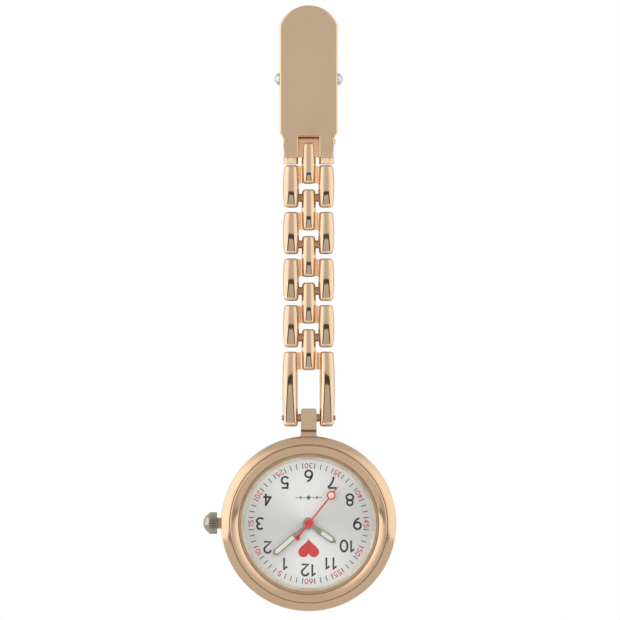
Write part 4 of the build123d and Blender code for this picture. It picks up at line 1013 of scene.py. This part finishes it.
def filled_hand(kind, hub, neck_end, shoulder, neck, width, window):
    """A metal hand with its luminous filling. window is where the filling starts and ends, and its width."""
    body = f"{kind}s"
    length, direction = pointing(f"{kind}_hand")
    low, high = levels(f"{kind}_hand")
    start, end, lume_width = window
    plate = slab(blade(length, neck_end, shoulder, neck, width, end - 0.1), low, high, front=0.05, steps=2)
    made = as_object(f"{kind}_hand_blade", turned(plate, direction), HEAD_Z)
    opening = mirrored([(lume_width / 2, start), (lume_width / 2, end - 0.35), (0.05, end)])
    combine(made, turned(slab(opening, low - 1, high + 1), direction), "DIFFERENCE", HEAD_Z)
    disc = [(0, low), (hub, low), (hub, high - 0.03), (hub - 0.05, high), (0, high)]
    combine(made, lathe(disc, 64), height=HEAD_Z)
    finish_piece(made, body, "hand_metal", [f"{kind}_hand"])
    filling = turned(slab(inset(opening, 0.005), low + 0.01, high + 0.02, front=0.05, steps=3), direction)
    on_head(f"{kind}_hand_filling", filling, "lume", [f"{kind}_hand_lume"], body=body)


def second_hand():
    """The thin red second hand with its filled ring, its counterweight and its hub."""
    length, direction = pointing("second_hand")
    back, high = levels("second_hand")
    low, top = back + 0.1, high - 0.12
    needle = mirrored([(0.14, WEIGHT_PLACE), (0.14, 0), (0.12, 5.15)])
    point = mirrored([(0.12, 6.45), (0.07, length)])
    ring = [(0.5, low), (0.71, low), (0.71, top - 0.03), (0.68, top), (0.53, top), (0.5, top - 0.03)]
    weight = [(0, low), (0.425, low), (0.425, top - 0.03), (0.395, top), (0, top)]
    hub = [(0, low), (0.7, low), (0.7, high - 0.08), (0.64, high - 0.01), (0.42, high), (0.38, high - 0.06),
           (0.24, high - 0.06), (0.2, high - 0.01), (0, high)]
    shapes = [slab(needle, low, top, front=0.03, steps=2), slab(point, low, top, front=0.02, steps=2),
              shifted(lathe(ring, 64), y=RING_PLACE), shifted(lathe(weight, 48), y=WEIGHT_PLACE),
              lathe(hub, 64)]
    on_head("second_hand_needle", turned(joined(shapes), direction), "red_lacquer", ["second_hand"],
            body="seconds")
    fill = [(0, low), (0.495, low), (0.495, top - 0.04), (0.4, top - 0.01), (0, top)]
    on_head("second_hand_filling", turned(shifted(lathe(fill, 48), y=RING_PLACE), direction), "lume",
            ["second_hand_lume"], CREAM_LUME, body="seconds")


def minute_collar():
    """The small disc that holds the minute hand on its pinion."""
    collar = [(0, 1.16), (0.95, 1.16), (0.95, 1.2), (0.9, 1.24), (0, 1.24)]
    on_head("minute_hand_collar", lathe(collar, 64), "hand_metal", body="minutes")


# ---- dial printing ----
def printed(outline):
    """A flat film of ink on the dial."""
    return slab(outline, DIAL_TOP + 0.001, DIAL_TOP + PRINT_RISE)


def print_on_dial(name, shapes, colour, y=0.0):
    on_head(name, shifted(joined(shapes), y=y), "dial_face", material=colour, sharp=60)


def oval(x, y, wide, high, start=0.0, end=360.0, count=22):
    """Points along an ellipse, from one angle to another."""
    return [(x + wide * u, y + high * v) for u, v in arc((0, 0), 1.0, start, end, count)]


def digit_strokes(digit):
    """The pen strokes of a digit one unit high, with its width."""
    bowl = oval(0.335, 0.335, 0.262, 0.268)
    stem = oval(0.53, 0.335, 0.457, 0.58, 97, 180, 10)
    strokes = {
        0: [oval(0.335, 0.5, 0.262, 0.43)],
        1: [[(0.10, 0.745), (0.33, 0.93), (0.33, 0.065)]],
        2: [oval(0.33, 0.665, 0.25, 0.265, 168, -32) + [(0.09, 0.07), (0.60, 0.07)]],
        3: [oval(0.32, 0.72, 0.225, 0.21, 150, -90, 14) + oval(0.31, 0.29, 0.26, 0.22, 90, -150, 14)],
        4: [[(0.05, 0.29), (0.65, 0.29)], [(0.08, 0.27), (0.46, 0.92)], [(0.46, 0.98), (0.46, 0.02)]],
        5: [[(0.57, 0.93), (0.15, 0.93), (0.11, 0.52)], oval(0.32, 0.335, 0.262, 0.265, 142, -150)],
        6: [bowl, stem],
        7: [[(0.06, 0.93), (0.59, 0.93)] + oval(0.95, 0.02, 0.70, 0.90, 117, 178, 8)],
        8: [oval(0.335, 0.72, 0.215, 0.21), oval(0.335, 0.30, 0.262, 0.232)],
        9: [[(0.67 - x, 1 - y) for x, y in path] for path in (bowl, stem)],
    }
    return strokes[digit], 0.42 if digit == 1 else 0.67


def ribbon(points, width, low, high):
    """A flat stroke of the pen along a path. A path that ends where it starts is closed."""
    closed = math.dist(points[0], points[-1]) < 1e-6
    path = [Vector(point) for point in (points[:-1] if closed else points)]
    verts, faces, count = [], [], len(path)
    for i, here in enumerate(path):
        before = path[i - 1] if closed or i > 0 else here * 2 - path[1]
        after = path[(i + 1) % count] if closed or i < count - 1 else here * 2 - path[i - 1]
        across = mitre(before, here, after, width / 2, 0.5)
        for point in (here + across, here - across):
            verts += [(point.x, point.y, low), (point.x, point.y, high)]
    for i in range(count if closed else count - 1):
        a, b = 4 * i, 4 * ((i + 1) % count)
        faces += [(a, b, b + 1, a + 1), (a + 2, a + 3, b + 3, b + 2), (a + 1, b + 1, b + 3, a + 3),
                  (a, a + 2, b + 2, b)]
    if not closed:
        last = 4 * (count - 1)
        faces += [(0, 1, 3, 2), (last, last + 2, last + 3, last + 1)]
    return verts, faces


def lettering(number, height):
    """A number in flat strokes, centred and upright along +y."""
    shapes, along, gap, wide = [], 0.0, 0.11, 1.04 * height
    for digit in str(number):
        strokes, width = digit_strokes(int(digit))
        for path in strokes:
            placed = [((x + along) * wide, (y - 0.5) * height) for x, y in path]
            shapes.append(ribbon(placed, PEN * height, DIAL_TOP + 0.001, DIAL_TOP + PRINT_RISE))
        along += width + gap
    return shifted(joined(shapes), x=-(along - gap) * wide / 2)


def dial_direction(minute):
    """The angle in the face frame of a minute mark. Twelve is at the bottom of the hanging watch."""
    return -90 - 6 * minute


def numerals():
    """The hours, upright to the wearer, some nearer to the centre than others. Outside them the minutes in
    fives, which lean with the ring and turn over on the half towards six."""
    hours, minutes = [], []
    for hour in range(1, 13):
        minute, direction = 5 * hour, dial_direction(5 * hour)
        radius = {1: 7.36, 3: 7.8, 9: 7.8, 10: 7.17, 11: 7.3, 12: 7.42}.get(hour, 7.6)
        lean = direction + 90 if 17 < minute < 43 else direction - 90
        hours.append(shifted(turned(lettering(hour, 2.05), 180), *polar(radius, direction)))
        minutes.append(shifted(turned(lettering(minute, 0.88), lean), *polar(9.24, direction)))
    print_on_dial("hour_numerals", hours, BLACK_INK)
    print_on_dial("minute_numerals", minutes, RED_INK)


def minute_ticks():
    """A tick at each minute that has no number."""
    tick = printed([(8.8, -0.065), (9.66, -0.065), (9.66, 0.065), (8.8, 0.065)])
    shapes = [turned(tick, dial_direction(minute)) for minute in range(60) if minute % 5]
    print_on_dial("minute_ticks", shapes, BLACK_INK)


def heart():
    """A plain heart between the centre and twelve, upright to the wearer."""
    outline, count, size = [], 72, 0.104
    for k in range(count):
        t = 2 * math.pi * k / count
        u = 16 * math.sin(t) ** 3
        v = 13 * math.cos(t) - 5 * math.cos(2 * t) - 2 * math.cos(3 * t) - math.cos(4 * t)
        outline.append((-u * size, v * size))
    print_on_dial("heart_mark", [turned(printed(outline), 180)], RED_INK, HEART_PLACE)


def ornament():
    """Three small lozenges joined by fine lines, between the centre and six."""
    shapes = []
    for low, high in ((-2.13, -1.65), (-1.0, -0.5), (0.5, 1.0), (1.65, 2.13)):
        shapes.append(printed([(low, -0.06), (high, -0.06), (high, 0.06), (low, 0.06)]))
    for centre, reach in ((-1.32, 0.26), (0, 0.42), (1.32, 0.26)):
        shapes.append(printed([(centre + reach, 0), (centre, reach), (centre - reach, 0), (centre, -reach)]))
    print_on_dial("line_ornament", shapes, GREY_INK, ORNAMENT_PLACE)


# ---- studio ----
def camera():
    data = bpy.data.cameras.new("camera")
    data.sensor_width = SENSOR
    data.lens = SENSOR * CAMERA_DISTANCE / FRAME_WIDTH
    data.clip_end = 10
    made = bpy.data.objects.new("camera", data)
    made.location = (FRAME_MIDDLE[0], MIDDLE_Y - CAMERA_DISTANCE, FRAME_MIDDLE[1])
    made.rotation_euler = (math.pi / 2, 0, 0)
    bpy.context.scene.collection.objects.link(made)
    bpy.context.scene.camera = made


def floor():
    """A pale round floor under the hanging watch."""
    outline = [(0, -2), (FLOOR_RADIUS - 2, -2), (FLOOR_RADIUS, -1), (FLOOR_RADIUS - 2, 0), (0, 0)]
    lying = moved(lathe(outline, 128), lambda x, y, z: (x, z, y))
    made = as_object("floor", lying, CAD_BOX[0].z - FLOOR_DROP)
    finish = Finish("pale_floor", (0.86, 0.86, 0.85), 0.0, 0.7)
    finish.vary_colour(finish.noise(30, 2), (0.84, 0.84, 0.83))
    finish.bump(finish.noise(900, 3), 0.1, 0.05)
    made.data.materials.append(finish.material)


def studio_light():
    """A white room: a grey panel in front of the watch, bright soft boxes at its sides, a dim top and floor.
    The camera itself sees plain white."""
    world = bpy.data.worlds.new("studio")
    world.use_nodes = True
    bpy.context.scene.world = world
    sky = Graph(world.node_tree)
    x, y, z = sky.parts("Generated")
    turn = sky.math("DEGREES", sky.math("ARCTAN2", x, sky.math("MULTIPLY", y, -1.0)))
    aside = sky.math("ABSOLUTE", turn)
    rise = sky.math("DEGREES", sky.math("ARCSINE", z))
    fall = sky.math("MULTIPLY", rise, -1.0)
    # a dark patch under the camera, drawn out downwards into two lines
    below_camera = sky.math("MAXIMUM", sky.math("SUBTRACT", fall, PATCH_END - 0.8), 0.0)
    half_width = sky.math("MULTIPLY_ADD", below_camera, LINE_SPREAD, PATCH_HALF)
    inside = sky.math("SUBTRACT", half_width, aside)
    level = sky.math("ADD", fall, sky.math("POWER", sky.math("DIVIDE", aside, PATCH_BEND), 2.0))
    patch = sky.band(level, PATCH_TOP, PATCH_END, 0.3)
    edges = sky.band(inside, 0.0, LINE_WIDTH, 1.5)
    lines = sky.math("MULTIPLY", edges, sky.band(level, PATCH_TOP, LINES_END, 0.5))
    dark = sky.math("MAXIMUM", sky.math("MULTIPLY", patch, sky.step(inside, 0.0, 2.0)), lines)
    front = sky.mix(PANEL, LOW_PANEL, sky.step(fall, PATCH_TOP, 9.0))
    front = sky.mix(front, PATCH, dark)
    # the soft boxes start softly beside the panel, and at a sharp edge beside the lines
    boxes = sky.mix(SIDES, RIGHT_SIDE, sky.step(turn, 0.0, 20.0))
    sharp = sky.math("SUBTRACT", 1.0, sky.step(inside, -1.5, 0.0))
    share = sky.mix(sky.step(aside, 12.0, 58.0), sharp, sky.band(fall, PATCH_TOP, LINES_END, 0.5))
    room = sky.mix(front, boxes, share)
    room = sky.mix(room, BEHIND, sky.step(aside, 98.0, 140.0))
    room = sky.mix(room, ABOVE, sky.step(rise, 30.0, 62.0))
    room = sky.mix(room, BELOW, sky.step(fall, 24.0, 50.0))
    room = sky.mix(room, FOOT_LIGHT, sky.band(fall, 12.0, 30.0, 4.0))
    seen = sky.mix(room, 1.0, sky.node("ShaderNodeLightPath", "Is Camera Ray"))
    sky.feed(sky.tree.nodes["Background"], {"Color": (1, 1, 1, 1), "Strength": seen})
    bpy.context.scene.view_settings.view_transform = "Standard"


dress_cad_nodes()
clip_plate()
clip_axle()
clip_lever()
clip_spring()
chain()
pins()
case_body()
bezel()
crystal_seal()
flange()
crystal()
case_back()
crown()
filled_hand("hour", hub=1.0, neck_end=1.7, shoulder=2.1, neck=0.75, width=1.0, window=(2.5, 4.75, 0.64))
filled_hand("minute", hub=0.95, neck_end=2.3, shoulder=2.9, neck=0.6, width=1.0, window=(3.2, 7.15, 0.68))
second_hand()
minute_collar()
numerals()
minute_ticks()
heart()
ornament()
camera()
floor()
studio_light()
